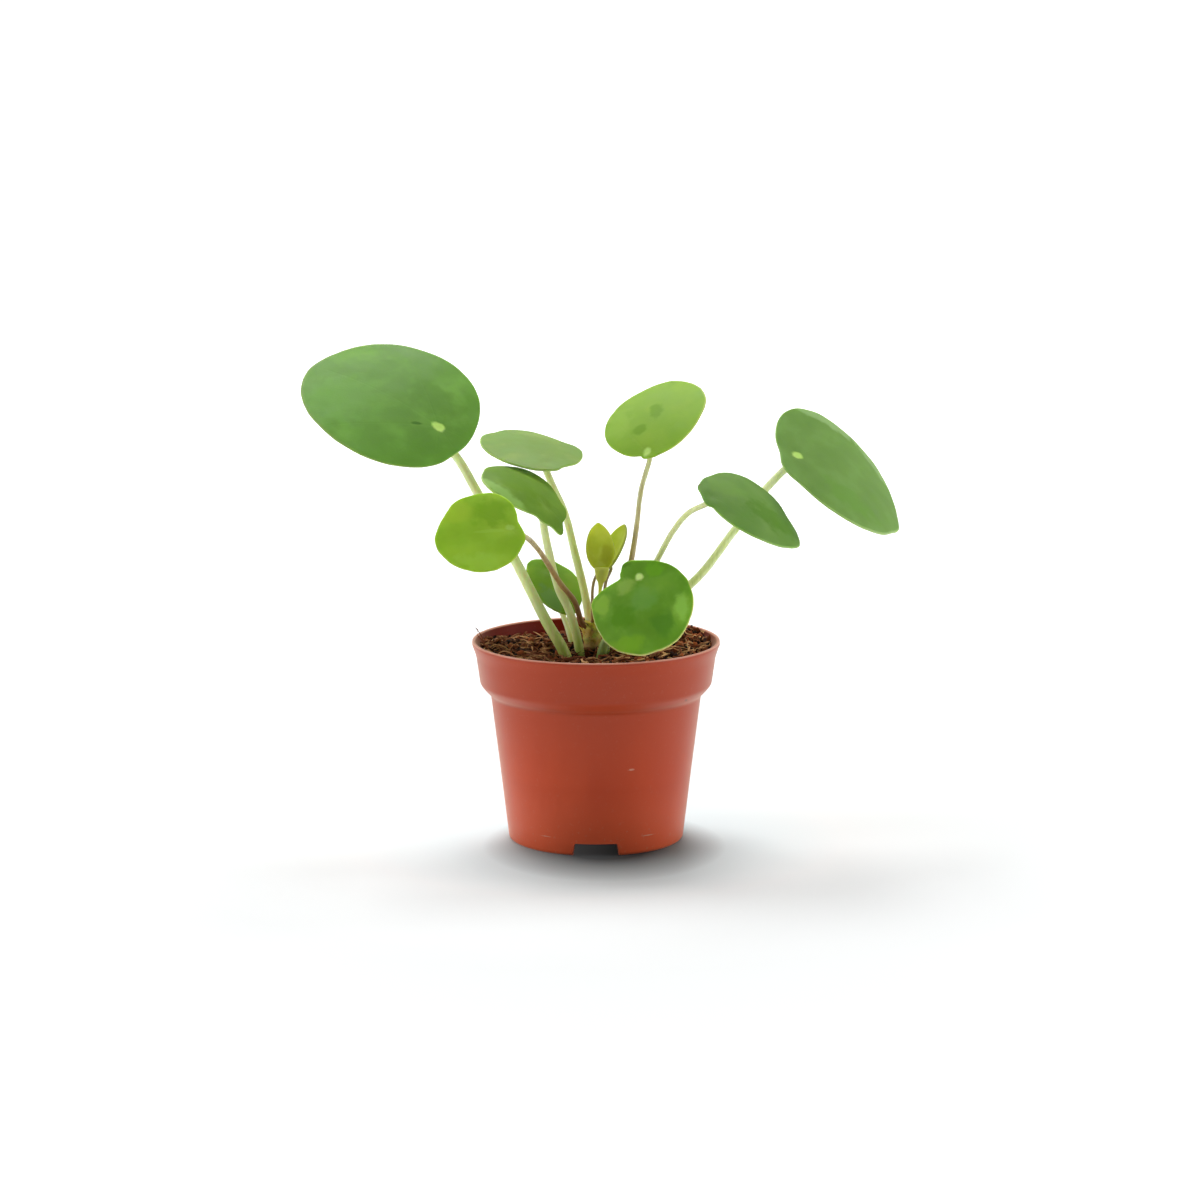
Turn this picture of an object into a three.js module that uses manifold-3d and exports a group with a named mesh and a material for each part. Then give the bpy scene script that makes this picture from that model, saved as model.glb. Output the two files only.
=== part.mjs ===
// Potted pilea plant in a 6 cm moulded plastic grower's pot.
// Millimetres, +Z up. The origin is on the pot's axis at the level it stands on, and the plant
// spreads widest along X. The pot's drainage notch in the middle of the front looks along -Y.

import * as THREE from 'three';
import Module from 'manifold-3d';
import { mergeVertices } from 'three/addons/utils/BufferGeometryUtils.js';

const wasm = await Module();
wasm.setup();

// ---------------------------------------------------------------- driving dimensions

const CLEARANCE = 0.3; // between any two pieces that would touch

// Pot
const LIP_RADIUS = 30;
const POT_HEIGHT = 48.6;
const WALL = 0.8;
const COLLAR_TOP = { radius: 29.05, z: 45.6 };
const COLLAR_BOTTOM = { radius: 27.95, z: 38.1 };
const NECK = { radius: 25.45, z: 35.6 };
const FOOT_RADIUS = 21.1;
const FOOT_RING_WIDTH = 1.4;
const FLOOR_UNDERSIDE = 3.2; // the floor is raised, so water can leave through the notches
const FLOOR_THICKNESS = 1;
const POT_SIDES = 48;
const NOTCH = { count: 3, width: 10.4, height: 3, flare: 0.5, firstAngle: -90 };
const DRAIN_HOLE = { count: 4, radius: 2.6, ring: 11.5, sides: 16, firstAngle: 45 };

// Soil
const SOIL_LEVEL = 46.1;
const SOIL_SIDES = 48;
const SOIL_RINGS = [3.5, 7, 10.5, 14, 17.5, 21, 24.5];
const FIBRE = { count: 24, sides: 4, steps: 4, radius: 0.32, shortest: 4, longest: 8.5, reach: 23.5 };

// Leaves
const BLADE_THICKNESS = 0.8;
const MARGIN_THICKNESS = 0.6;
const BLADE_RINGS = [0.3, 0.6, 0.85, 1];
const BASE_FULLNESS = 0.09; // the half of a blade near its petiole is this much fuller
const TIP_LENGTH = 0.8; // the blunt point at the far end of the midrib
const PETIOLE_SIDES = 8;
const PETIOLE_STEPS = 12;
const PETIOLE_CROWDING = 1.6;
const APPROACH = 1.4; // a petiole turns towards its blade this far below the hub

// Every leaf: hub is where the petiole meets the blade, inside its edge. length runs along the
// midrib, base is the part of it behind the hub. archAlong and archAcross are the radii in which
// the blade bends down along and across the midrib, negative where it is cupped upwards.
// heading, droop and bank turn it: the midrib's compass angle from +X towards +Y, how far its tip
// points down, and how far its left side is lifted. dents are [angle round the hub from the
// midrib, depth, half-width in degrees], negative depth for a corner that stands out.
// route is the petiole from soil or stem to the blade, and thick its diameters at both ends.
const LEAVES = [
  {
    name: 'far_left', hub: [-38, 8, 99], length: 45.5, width: 41.5, base: 8, spokes: 40,
    archAlong: 70, archAcross: 200, heading: 164, droop: -34, bank: -31,
    route: [[-7.2, -8.5, 46], [-12, -7, 54.6], [-19.4, -3, 68.5], [-27.9, 3, 82.8], [-33.7, 8, 91.9]],
    rooted: true, thick: [3, 2.1], approach: 2.6,
  },
  {
    name: 'back_left', hub: [-12, 12, 90], length: 29.5, width: 25, base: 4.5, spokes: 32,
    archAlong: 80, archAcross: 120, heading: 114, droop: -20, bank: 3,
    route: [[-1.6, 4.2, 52.8], [-2.9, 5.5, 59.7], [-5.3, 7, 69.3], [-7.5, 9, 77.8], [-11, 11, 85.5]],
    thick: [2.2, 1.7],
  },
  {
    name: 'arched', hub: [-12, -3, 81.5], length: 25, width: 23, base: 5.5, spokes: 36,
    archAlong: 27, archAcross: 95, heading: 151, droop: -46, bank: -1, dents: [[172, -2.6, 16]],
    route: [[-3.9, -2, 46], [-6.3, -2, 55.7], [-9, -2.2, 61.6], [-11.4, -2.5, 70.9], [-12.6, -3, 77.5]],
    rooted: true, thick: [2.5, 1.8],
  },
  {
    name: 'front_left', hub: [-20, -26, 80], length: 21, width: 22.5, base: 3.5, spokes: 32,
    archAlong: 50, archAcross: 300, heading: 185, droop: 4, bank: -45,
    route: [[-3.3, 1, 52.4], [-5.1, -1.5, 58], [-8.6, -6, 63.5], [-13.7, -15, 73.2], [-16.8, -21, 77.3]],
    thick: [1.5, 1.2],
  },
  {
    name: 'small_low', hub: [-12.5, 15, 63], length: 17.5, width: 12.5, base: 3.5, spokes: 24,
    archAlong: 50, archAcross: 95, heading: -52, droop: 35, bank: 14,
    route: [[-5.8, 6, 46], [-7.6, 9.5, 51.5], [-10, 14.5, 56]],
    rooted: true, thick: [1.6, 1.2],
  },
  {
    name: 'top', hub: [12.5, 8, 93], length: 27.5, width: 25.5, base: 2, spokes: 32,
    archAlong: 60, archAcross: 500, heading: 81, droop: -45, bank: -18,
    route: [[3.8, 4, 46.5], [5.4, 4.4, 56], [7.7, 5, 65.9], [9.2, 5.8, 74.4], [10.9, 7, 84]],
    rooted: true, thick: [1.7, 1.2],
  },
  {
    name: 'middle_right', hub: [27, -24, 87], length: 30.5, width: 24.5, base: 2.5, spokes: 32,
    archAlong: 40, archAcross: 85, heading: 21, droop: 7, bank: 32, dents: [[150, -1.2, 16]],
    route: [[4.3, -1, 46.8], [9.5, -5, 59], [14.9, -10, 70.4], [18.3, -15.5, 77.7], [21.8, -19.5, 82.6]],
    rooted: true, thick: [1.7, 1.3],
  },
  {
    name: 'front', hub: [10.5, -19, 67], length: 24.5, width: 24.5, base: 4.5, spokes: 40,
    archAlong: 90, archAcross: 50, heading: -87, droop: 54, bank: 17, dents: [[-98, 4.1, 21]],
    route: [[2.4, -3.6, 46.4], [3.6, -5.2, 54], [6.5, -10, 62]],
    rooted: true, thick: [1.7, 1.3],
  },
  {
    name: 'far_right', hub: [48, -2, 93.5], length: 38, width: 40, base: 6, spokes: 40,
    archAlong: 60, archAcross: 1000, heading: 20, droop: 16, bank: 34,
    route: [[1.2, -8, 45.6], [3.6, -7.9, 51.4], [22.5, -5.5, 62.9], [32.8, -4, 75.5], [40.4, -3, 85.5], [45, -2.5, 90.3]],
    rooted: true, thick: [2.5, 1.8],
  },
  {
    name: 'young_left', hub: [1.1, 0.6, 66.6], length: 13, width: 7, base: 1.8, spokes: 20,
    archAlong: -20, archAcross: -9, heading: 95, droop: -75, bank: 0,
    route: [[-0.8, 1.5, 52.8], [-0.9, 1.4, 57], [-0.6, 1.8, 62]],
    thick: [0.9, 0.7],
  },
  {
    name: 'young_right', hub: [3.2, 2.2, 65.8], length: 12.5, width: 5, base: 1.6, spokes: 20,
    archAlong: -30, archAcross: -9, heading: 35, droop: -62, bank: 20,
    route: [[1, 2.9, 52.8], [1.9, 3, 58], [2.8, 2.9, 62.5]],
    thick: [0.9, 0.7],
  },
];

// The unopened bud between the young leaves, a folded leaf on a stalk, as sections of
// [x, y, z, half-width, half-depth] from the stem upwards
const BUD = {
  sides: 8,
  sections: [
    [0.5, 1, 52.6, 0.4, 0.4],
    [0.7, -0.2, 57, 0.4, 0.4],
    [1, -1.7, 61, 0.4, 0.4],
    [1.2, -2.1, 62.8, 0.7, 0.6],
    [1.4, -2.2, 64.6, 1.3, 0.8],
    [1.5, -2.3, 66.1, 1.8, 0.8],
    [1.5, -2.3, 66.7, 1.3, 0.4],
  ],
};

// Stem
const STEM = { x: -1, y: 3, bottom: 37, top: 52.3, radius: 2.2, ringEvery: 2.2, ringHeight: 0.16, sides: 10, steps: 14 };
const STIPULES = [
  { angle: 250, z: 47.5, length: 5, width: 2.2 },
  { angle: 320, z: 48.5, length: 4.2, width: 1.8 },
  { angle: 120, z: 47.5, length: 4, width: 2 },
];

// ---------------------------------------------------------------- materials

function finish(color, roughness) {
  return new THREE.MeshStandardMaterial({ color, roughness, metalness: 0 });
}

const MATERIALS = {
  pot: finish(0xa6503a, 0.5),
  soil: finish(0x3f2716, 1),
  stem: finish(0x7d6a34, 0.8),
  petiole: finish(0xb2c274, 0.5),
  redPetiole: finish(0x84613f, 0.55),
  blade: finish(0x5f9a3c, 0.4),
  yellowBlade: finish(0x86b02f, 0.4),
  youngBlade: finish(0x98a830, 0.45),
};

const BLADE_FINISH = {
  front_left: MATERIALS.yellowBlade,
  top: MATERIALS.yellowBlade,
  young_left: MATERIALS.youngBlade,
  young_right: MATERIALS.youngBlade,
};

const RED_PETIOLES = ['front_left', 'top', 'young_left', 'young_right'];

// ---------------------------------------------------------------- shared geometry

const degrees = THREE.MathUtils.degToRad;

// A repeatable draw between 0 and 1
function seeded(seed) {
  let state = seed;
  return () => {
    state = (state * 1664525 + 1013904223) % 4294967296;
    return state / 4294967296;
  };
}

// A closed body from rings of points, with a single point at each end. Every ring runs
// counter-clockwise seen from beyond the last point, and all have the same number of points.
function bodyFromRings(first, rings, last) {
  const count = rings[0].length;
  const points = [first, ...rings.flat(), last];
  const index = [];
  const at = (ring, i) => 1 + ring * count + (i % count);
  for (let i = 0; i < count; i += 1) {
    index.push(0, at(0, i + 1), at(0, i));
    for (let ring = 0; ring < rings.length - 1; ring += 1) {
      index.push(at(ring, i), at(ring, i + 1), at(ring + 1, i + 1));
      index.push(at(ring, i), at(ring + 1, i + 1), at(ring + 1, i));
    }
    index.push(points.length - 1, at(rings.length - 1, i), at(rings.length - 1, i + 1));
  }
  const geometry = new THREE.BufferGeometry();
  geometry.setAttribute('position', new THREE.Float32BufferAttribute(points.flatMap((p) => [p.x, p.y, p.z]), 3));
  geometry.setIndex(index);
  return geometry;
}

// A tube of changing radius along a smooth curve through the given points. Its rings lie closer
// together towards the end when crowding is above 1.
function tube(points, radiusAt, sides, steps, crowding = 1) {
  const curve = new THREE.CatmullRomCurve3(points, false, 'centripetal');
  const rings = [];
  let side = null;
  for (let step = 0; step <= steps; step += 1) {
    const along = 1 - (1 - step / steps) ** crowding;
    const centre = curve.getPointAt(along);
    const forwards = curve.getTangentAt(along);
    side ??= new THREE.Vector3(0, 1, 0).cross(forwards);
    if (side.lengthSq() < 0.01) side.set(1, 0, 0);
    side = side.addScaledVector(forwards, -side.dot(forwards)).normalize();
    const other = forwards.clone().cross(side);
    const radius = radiusAt(along);
    const ring = [];
    for (let i = 0; i < sides; i += 1) {
      const angle = (2 * Math.PI * i) / sides;
      const point = centre.clone().addScaledVector(side, Math.cos(angle) * radius);
      ring.push(point.addScaledVector(other, Math.sin(angle) * radius));
    }
    rings.push(ring);
  }
  return bodyFromRings(curve.getPointAt(0), rings, curve.getPointAt(1));
}

// A closed mesh as a solid that can be joined and cut
function solid(geometry) {
  const bare = geometry.clone();
  bare.deleteAttribute('normal');
  bare.deleteAttribute('uv');
  const merged = mergeVertices(bare, 1e-5);
  return new wasm.Manifold(new wasm.Mesh({
    numProp: 3,
    vertProperties: new Float32Array(merged.attributes.position.array),
    triVerts: new Uint32Array(merged.index.array),
  }));
}

// The largest piece of a solid, without the crumbs that a cut leaves
function largestPiece(body) {
  const pieces = body.decompose();
  return pieces.reduce((best, piece) => (piece.volume() > best.volume() ? piece : best));
}

function geometryOf(body) {
  const mesh = body.getMesh();
  const geometry = new THREE.BufferGeometry();
  geometry.setAttribute('position', new THREE.Float32BufferAttribute(mesh.vertProperties, 3));
  geometry.setIndex(Array.from(mesh.triVerts));
  geometry.computeVertexNormals();
  return geometry;
}

function named(name, geometry, material) {
  const mesh = new THREE.Mesh(geometry, material);
  mesh.name = name;
  return mesh;
}

// ---------------------------------------------------------------- pot

// The pot is turned from one closed profile: up the outside, over the lip, down the inside
function potProfile() {
  const floorTop = FLOOR_UNDERSIDE + FLOOR_THICKNESS;
  const slope = (NECK.radius - FOOT_RADIUS) / NECK.z;
  const footInside = FOOT_RADIUS - FOOT_RING_WIDTH;
  const outside = [
    [0, FLOOR_UNDERSIDE],
    [footInside + slope * FLOOR_UNDERSIDE, FLOOR_UNDERSIDE],
    [footInside, 0],
    [FOOT_RADIUS - 0.3, 0],
    [FOOT_RADIUS, 0.4],
    [FOOT_RADIUS + slope * 12, 12],
    [FOOT_RADIUS + slope * 24, 24],
    [NECK.radius, NECK.z],
    [NECK.radius + 1.1, NECK.z + 1],
    [COLLAR_BOTTOM.radius - 0.6, COLLAR_BOTTOM.z - 0.8],
    [COLLAR_BOTTOM.radius, COLLAR_BOTTOM.z],
    [COLLAR_TOP.radius, COLLAR_TOP.z],
    [LIP_RADIUS - 0.35, POT_HEIGHT - 1.4],
    [LIP_RADIUS, POT_HEIGHT - 0.5],
    [LIP_RADIUS - 0.3, POT_HEIGHT],
  ];
  const inside = [
    [LIP_RADIUS - 0.9, POT_HEIGHT - 0.1],
    [COLLAR_TOP.radius - WALL, COLLAR_TOP.z],
    [COLLAR_BOTTOM.radius - WALL, COLLAR_BOTTOM.z + 0.3],
    [NECK.radius - WALL, NECK.z + 0.4],
    [FOOT_RADIUS - WALL + slope * (floorTop + 1.2), floorTop + 1.2],
    [FOOT_RADIUS - WALL - 1.2, floorTop],
    [0, floorTop],
  ];
  return [...outside, ...inside].map(([radius, z]) => new THREE.Vector2(radius, z));
}

// One drainage notch through the foot ring, a little wider at the bottom
function notchCutter(angle) {
  const half = NOTCH.width / 2;
  const outline = new THREE.Shape([
    new THREE.Vector2(-half - NOTCH.flare, -1),
    new THREE.Vector2(half + NOTCH.flare, -1),
    new THREE.Vector2(half, NOTCH.height - 0.6),
    new THREE.Vector2(half - 0.6, NOTCH.height),
    new THREE.Vector2(-half + 0.6, NOTCH.height),
    new THREE.Vector2(-half, NOTCH.height - 0.6),
  ]);
  const block = new THREE.ExtrudeGeometry(outline, { depth: 8, bevelEnabled: false });
  block.rotateX(Math.PI / 2);
  block.rotateZ(Math.PI / 2);
  block.translate(FOOT_RADIUS - 6, 0, 0);
  block.rotateZ(degrees(angle));
  return solid(block);
}

function drainHole(angle) {
  const height = FLOOR_THICKNESS + 2;
  const hole = new THREE.CylinderGeometry(DRAIN_HOLE.radius, DRAIN_HOLE.radius, height, DRAIN_HOLE.sides);
  hole.rotateX(Math.PI / 2);
  hole.translate(DRAIN_HOLE.ring, 0, FLOOR_UNDERSIDE + FLOOR_THICKNESS / 2);
  hole.rotateZ(degrees(angle));
  return solid(hole);
}

function pot() {
  const turned = new THREE.LatheGeometry(potProfile(), POT_SIDES);
  turned.rotateX(Math.PI / 2);
  let body = solid(turned);
  for (let i = 0; i < NOTCH.count; i += 1) {
    body = body.subtract(notchCutter(NOTCH.firstAngle + (360 / NOTCH.count) * i));
  }
  for (let i = 0; i < DRAIN_HOLE.count; i += 1) {
    body = body.subtract(drainHole(DRAIN_HOLE.firstAngle + (360 / DRAIN_HOLE.count) * i));
  }
  return named('pot', geometryOf(body), MATERIALS.pot);
}

// ---------------------------------------------------------------- soil

// Height of the soil: low on the left and round the petioles, heaped up on the right
function soilHeight(x, y) {
  const heap = 1.7 * THREE.MathUtils.smoothstep(x, 2, 20);
  const backHeap = 1.1 * Math.exp(-((x - 22) ** 2 + (y - 13) ** 2) / 40);
  const leftBank = 1.1 * THREE.MathUtils.smoothstep(-x, 19, 27);
  const hollow = 1.6 * Math.exp(-((x + 2.6) ** 2 + (y + 6) ** 2) / 26);
  const lumps = 0.3 * Math.sin(0.9 * x + 0.4 * y) * Math.cos(0.8 * y - 0.3 * x) + 0.2 * Math.sin(1.9 * y + x);
  return SOIL_LEVEL + heap + backHeap + leftBank - hollow + lumps;
}

function soilRing(radius, heightAt) {
  const ring = [];
  for (let i = 0; i < SOIL_SIDES; i += 1) {
    const angle = (2 * Math.PI * i) / SOIL_SIDES;
    const x = radius * Math.cos(angle);
    const y = radius * Math.sin(angle);
    ring.push(new THREE.Vector3(x, y, heightAt(x, y)));
  }
  return ring;
}

// The plug of soil follows the inside of the pot, a clearance away from it
function soilPlug() {
  const inset = WALL + CLEARANCE;
  const bottom = FLOOR_UNDERSIDE + FLOOR_THICKNESS + CLEARANCE;
  const slope = (NECK.radius - FOOT_RADIUS) / NECK.z;
  const side = [
    [FOOT_RADIUS - inset - 1.3, bottom],
    [FOOT_RADIUS - inset + slope * (bottom + 1.5), bottom + 1.5],
    [NECK.radius - inset - 0.05, NECK.z + 0.6],
    [COLLAR_BOTTOM.radius - inset - 0.05, COLLAR_BOTTOM.z + 0.7],
  ];
  const edge = COLLAR_TOP.radius - inset - 0.2;
  const rings = side.map(([radius, z]) => soilRing(radius, () => z));
  rings.push(soilRing(edge, soilHeight));
  for (const radius of [...SOIL_RINGS].reverse()) {
    rings.push(soilRing(radius, soilHeight));
  }
  const middle = new THREE.Vector3(0, 0, soilHeight(0, 0));
  return solid(bodyFromRings(new THREE.Vector3(0, 0, bottom), rings, middle));
}

// One coir fibre: both ends are sunk in the soil and its middle lies proud of it
function fibre(draw) {
  const length = THREE.MathUtils.lerp(FIBRE.shortest, FIBRE.longest, draw());
  const radius = FIBRE.reach * Math.sqrt(draw());
  const angle = 2 * Math.PI * draw();
  const turn = Math.PI * draw();
  const bow = (draw() - 0.5) * 0.5 * length;
  const points = [];
  for (let i = 0; i <= 4; i += 1) {
    const along = i / 4 - 0.5;
    const sideways = bow * (0.25 - along * along) * 4;
    const x = radius * Math.cos(angle) + length * along * Math.cos(turn) - sideways * Math.sin(turn);
    const y = radius * Math.sin(angle) + length * along * Math.sin(turn) + sideways * Math.cos(turn);
    const lift = 0.2 - 4 * 0.9 * along * along;
    points.push(new THREE.Vector3(x, y, soilHeight(x, y) + lift));
  }
  const taper = (along) => FIBRE.radius * (1 - 0.5 * Math.abs(2 * along - 1));
  return solid(tube(points, taper, FIBRE.sides, FIBRE.steps));
}

function soil(holes) {
  const draw = seeded(7);
  let body = soilPlug();
  for (let i = 0; i < FIBRE.count; i += 1) {
    body = body.add(fibre(draw));
  }
  for (const hole of holes) {
    body = body.subtract(hole);
  }
  return named('soil', geometryOf(largestPiece(body)), MATERIALS.soil);
}

// ---------------------------------------------------------------- stem

function stemRadius(along) {
  const z = STEM.bottom + along * (STEM.top - STEM.bottom);
  const scar = STEM.ringHeight * Math.cos((2 * Math.PI * z) / STEM.ringEvery);
  return STEM.radius + scar - 0.25 * along;
}

function stemTube(extra) {
  const foot = new THREE.Vector3(STEM.x, STEM.y, STEM.bottom - extra);
  const middle = new THREE.Vector3(STEM.x, STEM.y, (STEM.bottom + STEM.top) / 2);
  const top = new THREE.Vector3(STEM.x, STEM.y, STEM.top + extra);
  return solid(tube([foot, middle, top], (along) => stemRadius(along) + extra, STEM.sides, STEM.steps));
}

// A papery scale that clasps the stem and points up
function stipule({ angle, z, length, width }) {
  const outwards = new THREE.Vector3(Math.cos(degrees(angle)), Math.sin(degrees(angle)), 0);
  const root = new THREE.Vector3(STEM.x, STEM.y, z).addScaledVector(outwards, STEM.radius - 0.4);
  const top = root.clone().addScaledVector(outwards, 0.45);
  top.z += length;
  const middle = root.clone().lerp(top, 0.5).addScaledVector(outwards, 0.35);
  const taper = (along) => (width / 2) * (1 - 0.82 * along) * 0.6;
  return solid(tube([root, middle, top], taper, 6, 5));
}

function stem() {
  let body = stemTube(0);
  for (const scale of STIPULES) {
    body = body.add(stipule(scale));
  }
  return named('stem', geometryOf(largestPiece(body)), MATERIALS.stem);
}

// ---------------------------------------------------------------- leaves

// The directions of a blade at its hub: along the midrib, to its left side, and out of its face
function bladeAxes({ heading, droop, bank }) {
  const turn = degrees(heading);
  const dip = degrees(droop);
  const roll = degrees(bank);
  const midrib = new THREE.Vector3(Math.cos(turn) * Math.cos(dip), Math.sin(turn) * Math.cos(dip), -Math.sin(dip));
  const level = new THREE.Vector3(-Math.sin(turn), Math.cos(turn), 0);
  const upright = midrib.clone().cross(level);
  const left = level.clone().multiplyScalar(Math.cos(roll)).addScaledVector(upright, Math.sin(roll));
  const face = midrib.clone().cross(left);
  return { midrib, left, face };
}

// The flat outline of a blade round its hub: an egg with a blunt tip and the leaf's own dents
function bladeOutline({ length, width, base, spokes, dents = [] }) {
  const outline = [];
  for (let i = 0; i < spokes; i += 1) {
    const angle = (2 * Math.PI * i) / spokes;
    const fromTip = angle > Math.PI ? angle - 2 * Math.PI : angle;
    let along = length / 2 - base + (length / 2) * Math.cos(angle);
    let across = (width / 2) * Math.sin(angle) * (1 - BASE_FULLNESS * Math.cos(angle));
    along += TIP_LENGTH * (length / 30) * Math.exp(-((fromTip / 0.3) ** 2));
    const reach = Math.hypot(along, across);
    const bearing = THREE.MathUtils.radToDeg(Math.atan2(across, along));
    let shrink = 0;
    for (const [where, depth, spread] of dents) {
      const away = THREE.MathUtils.euclideanModulo(bearing - where + 180, 360) - 180;
      shrink += depth * Math.exp(-((away / spread) ** 2));
    }
    along *= 1 - shrink / reach;
    across *= 1 - shrink / reach;
    outline.push([along, across]);
  }
  return outline;
}

// A point of the bent blade and the way its face looks there
function bladePoint(leaf, axes, along, across) {
  const bendAlong = along / leaf.archAlong;
  const bendAcross = across / leaf.archAcross;
  const drop = leaf.archAcross * (1 - Math.cos(bendAcross));
  const forwards = leaf.archAlong * Math.sin(bendAlong) - drop * Math.sin(bendAlong);
  const sideways = leaf.archAcross * Math.sin(bendAcross);
  const upwards = -leaf.archAlong * (1 - Math.cos(bendAlong)) - drop * Math.cos(bendAlong);
  const point = new THREE.Vector3(...leaf.hub)
    .addScaledVector(axes.midrib, forwards)
    .addScaledVector(axes.left, sideways)
    .addScaledVector(axes.face, upwards);
  const face = new THREE.Vector3()
    .addScaledVector(axes.midrib, Math.cos(bendAcross) * Math.sin(bendAlong))
    .addScaledVector(axes.left, Math.sin(bendAcross))
    .addScaledVector(axes.face, Math.cos(bendAcross) * Math.cos(bendAlong));
  return { point, face };
}

// Both faces share one pattern of rings and spokes, half the thickness either side of the middle
function blade(leaf) {
  const axes = bladeAxes(leaf);
  const outline = bladeOutline(leaf);
  const layer = (share, side) => outline.map(([along, across]) => {
    const thickness = THREE.MathUtils.lerp(BLADE_THICKNESS, MARGIN_THICKNESS, share);
    const { point, face } = bladePoint(leaf, axes, along * share, across * share);
    return point.addScaledVector(face, (side * thickness) / 2);
  });
  const hub = new THREE.Vector3(...leaf.hub);
  const underside = BLADE_RINGS.map((share) => layer(share, -1));
  const top = [...BLADE_RINGS].reverse().map((share) => layer(share, 1));
  const below = hub.clone().addScaledVector(axes.face, -BLADE_THICKNESS / 2);
  const above = hub.clone().addScaledVector(axes.face, BLADE_THICKNESS / 2);
  const geometry = bodyFromRings(below, [...underside, ...top], above);
  geometry.computeVertexNormals();
  return named(`blade_${leaf.name}`, geometry, BLADE_FINISH[leaf.name] ?? MATERIALS.blade);
}

// The petiole comes out of the soil or the stem, and bends to meet the blade square from below
function petioleCurve(leaf) {
  const points = leaf.route.map((place) => new THREE.Vector3(...place));
  if (leaf.rooted) {
    const foot = points[0].clone().multiply(new THREE.Vector3(0.9, 0.9, 1));
    foot.z -= 6;
    points.unshift(foot);
  }
  const { face } = bladeAxes(leaf);
  const hub = new THREE.Vector3(...leaf.hub);
  const approach = hub.clone().addScaledVector(face, -(leaf.approach ?? APPROACH));
  points.push(approach, hub.addScaledVector(face, -BLADE_THICKNESS / 2 - CLEARANCE));
  return points;
}

function petioleTube(leaf, extra) {
  const [thickBase, thickTop] = leaf.thick;
  const taper = (along) => THREE.MathUtils.lerp(thickBase, thickTop, Math.sqrt(along)) / 2 + extra;
  return tube(petioleCurve(leaf), taper, PETIOLE_SIDES, PETIOLE_STEPS, PETIOLE_CROWDING);
}

function petiole(leaf) {
  const material = RED_PETIOLES.includes(leaf.name) ? MATERIALS.redPetiole : MATERIALS.petiole;
  const geometry = petioleTube(leaf, 0);
  geometry.computeVertexNormals();
  return named(`petiole_${leaf.name}`, geometry, material);
}

// The hole of a rooted petiole is the petiole itself, made wider and a little deeper
function petioleHole(leaf) {
  return solid(petioleTube(leaf, CLEARANCE + 0.1));
}

// ---------------------------------------------------------------- bud

function bud() {
  const centres = BUD.sections.map(([x, y, z]) => new THREE.Vector3(x, y, z));
  const rings = BUD.sections.map(([x, y, z, halfWidth, halfDepth]) => {
    const ring = [];
    for (let i = 0; i < BUD.sides; i += 1) {
      const angle = (2 * Math.PI * i) / BUD.sides;
      ring.push(new THREE.Vector3(x + halfWidth * Math.cos(angle), y + halfDepth * Math.sin(angle), z));
    }
    return ring;
  });
  const geometry = bodyFromRings(centres[0], rings, centres[centres.length - 1]);
  geometry.computeVertexNormals();
  return named('bud', geometry, MATERIALS.youngBlade);
}

// ---------------------------------------------------------------- the plant in its pot

const plant = new THREE.Group();
const holes = LEAVES.filter((leaf) => leaf.rooted).map(petioleHole);
plant.add(pot());
plant.add(soil([...holes, stemTube(CLEARANCE)]));
plant.add(stem());
for (const leaf of LEAVES) {
  plant.add(petiole(leaf));
  plant.add(blade(leaf));
}
plant.add(bud());

export default plant;
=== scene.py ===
import math

import bmesh
import bpy
from mathutils import Matrix, Vector, noise


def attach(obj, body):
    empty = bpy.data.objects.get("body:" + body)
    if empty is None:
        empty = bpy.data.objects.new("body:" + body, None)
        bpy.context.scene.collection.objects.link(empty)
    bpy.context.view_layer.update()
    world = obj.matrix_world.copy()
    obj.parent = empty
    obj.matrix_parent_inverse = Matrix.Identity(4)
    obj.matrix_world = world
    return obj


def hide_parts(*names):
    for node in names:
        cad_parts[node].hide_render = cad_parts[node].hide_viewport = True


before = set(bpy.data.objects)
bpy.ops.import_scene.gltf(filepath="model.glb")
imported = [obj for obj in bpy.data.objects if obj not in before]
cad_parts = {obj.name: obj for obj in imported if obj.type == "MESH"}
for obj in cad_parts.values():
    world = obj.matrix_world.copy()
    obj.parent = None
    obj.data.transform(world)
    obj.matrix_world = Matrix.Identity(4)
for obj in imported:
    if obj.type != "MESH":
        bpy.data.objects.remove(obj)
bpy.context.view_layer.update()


# ------------------------------------------------------------------ where the photograph was taken from
# The camera looks slightly down on the pot from 0.9 m away, with a long lens, so the rim shows as a
# flat oval and the leaves keep their true widths.

# Pieces are measured in millimetres, and a value times mm is in metres, which Blender takes
mm = 0.001
CAMERA_PLACE = (0.97 * mm, -900 * mm, 222.6 * mm)
CAMERA_PITCH = math.radians(10.35)
FOCAL_PIXELS = 3799
PHOTO_PIXELS = 1200
SENSOR_WIDTH = 36
NEAREST_SEEN = 0.05
FARTHEST_SEEN = 100

lens = bpy.data.cameras.new("portrait_lens")
lens.sensor_width = SENSOR_WIDTH
lens.lens = FOCAL_PIXELS / PHOTO_PIXELS * SENSOR_WIDTH
lens.clip_start = NEAREST_SEEN
lens.clip_end = FARTHEST_SEEN
camera = bpy.data.objects.new("photo_camera", lens)
camera.location = CAMERA_PLACE
camera.rotation_euler = (math.pi / 2 - CAMERA_PITCH, 0, 0)
bpy.context.scene.collection.objects.link(camera)
bpy.context.scene.camera = camera


# ------------------------------------------------------------------ white studio table
# The pot stands on a white sheet in a light tent that is open towards the camera. A big softbox hangs
# behind the pot, so its shadow lies round the foot and in front of it. The dark opening is what makes
# the front of the pot deeper in colour than its sides.

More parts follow.
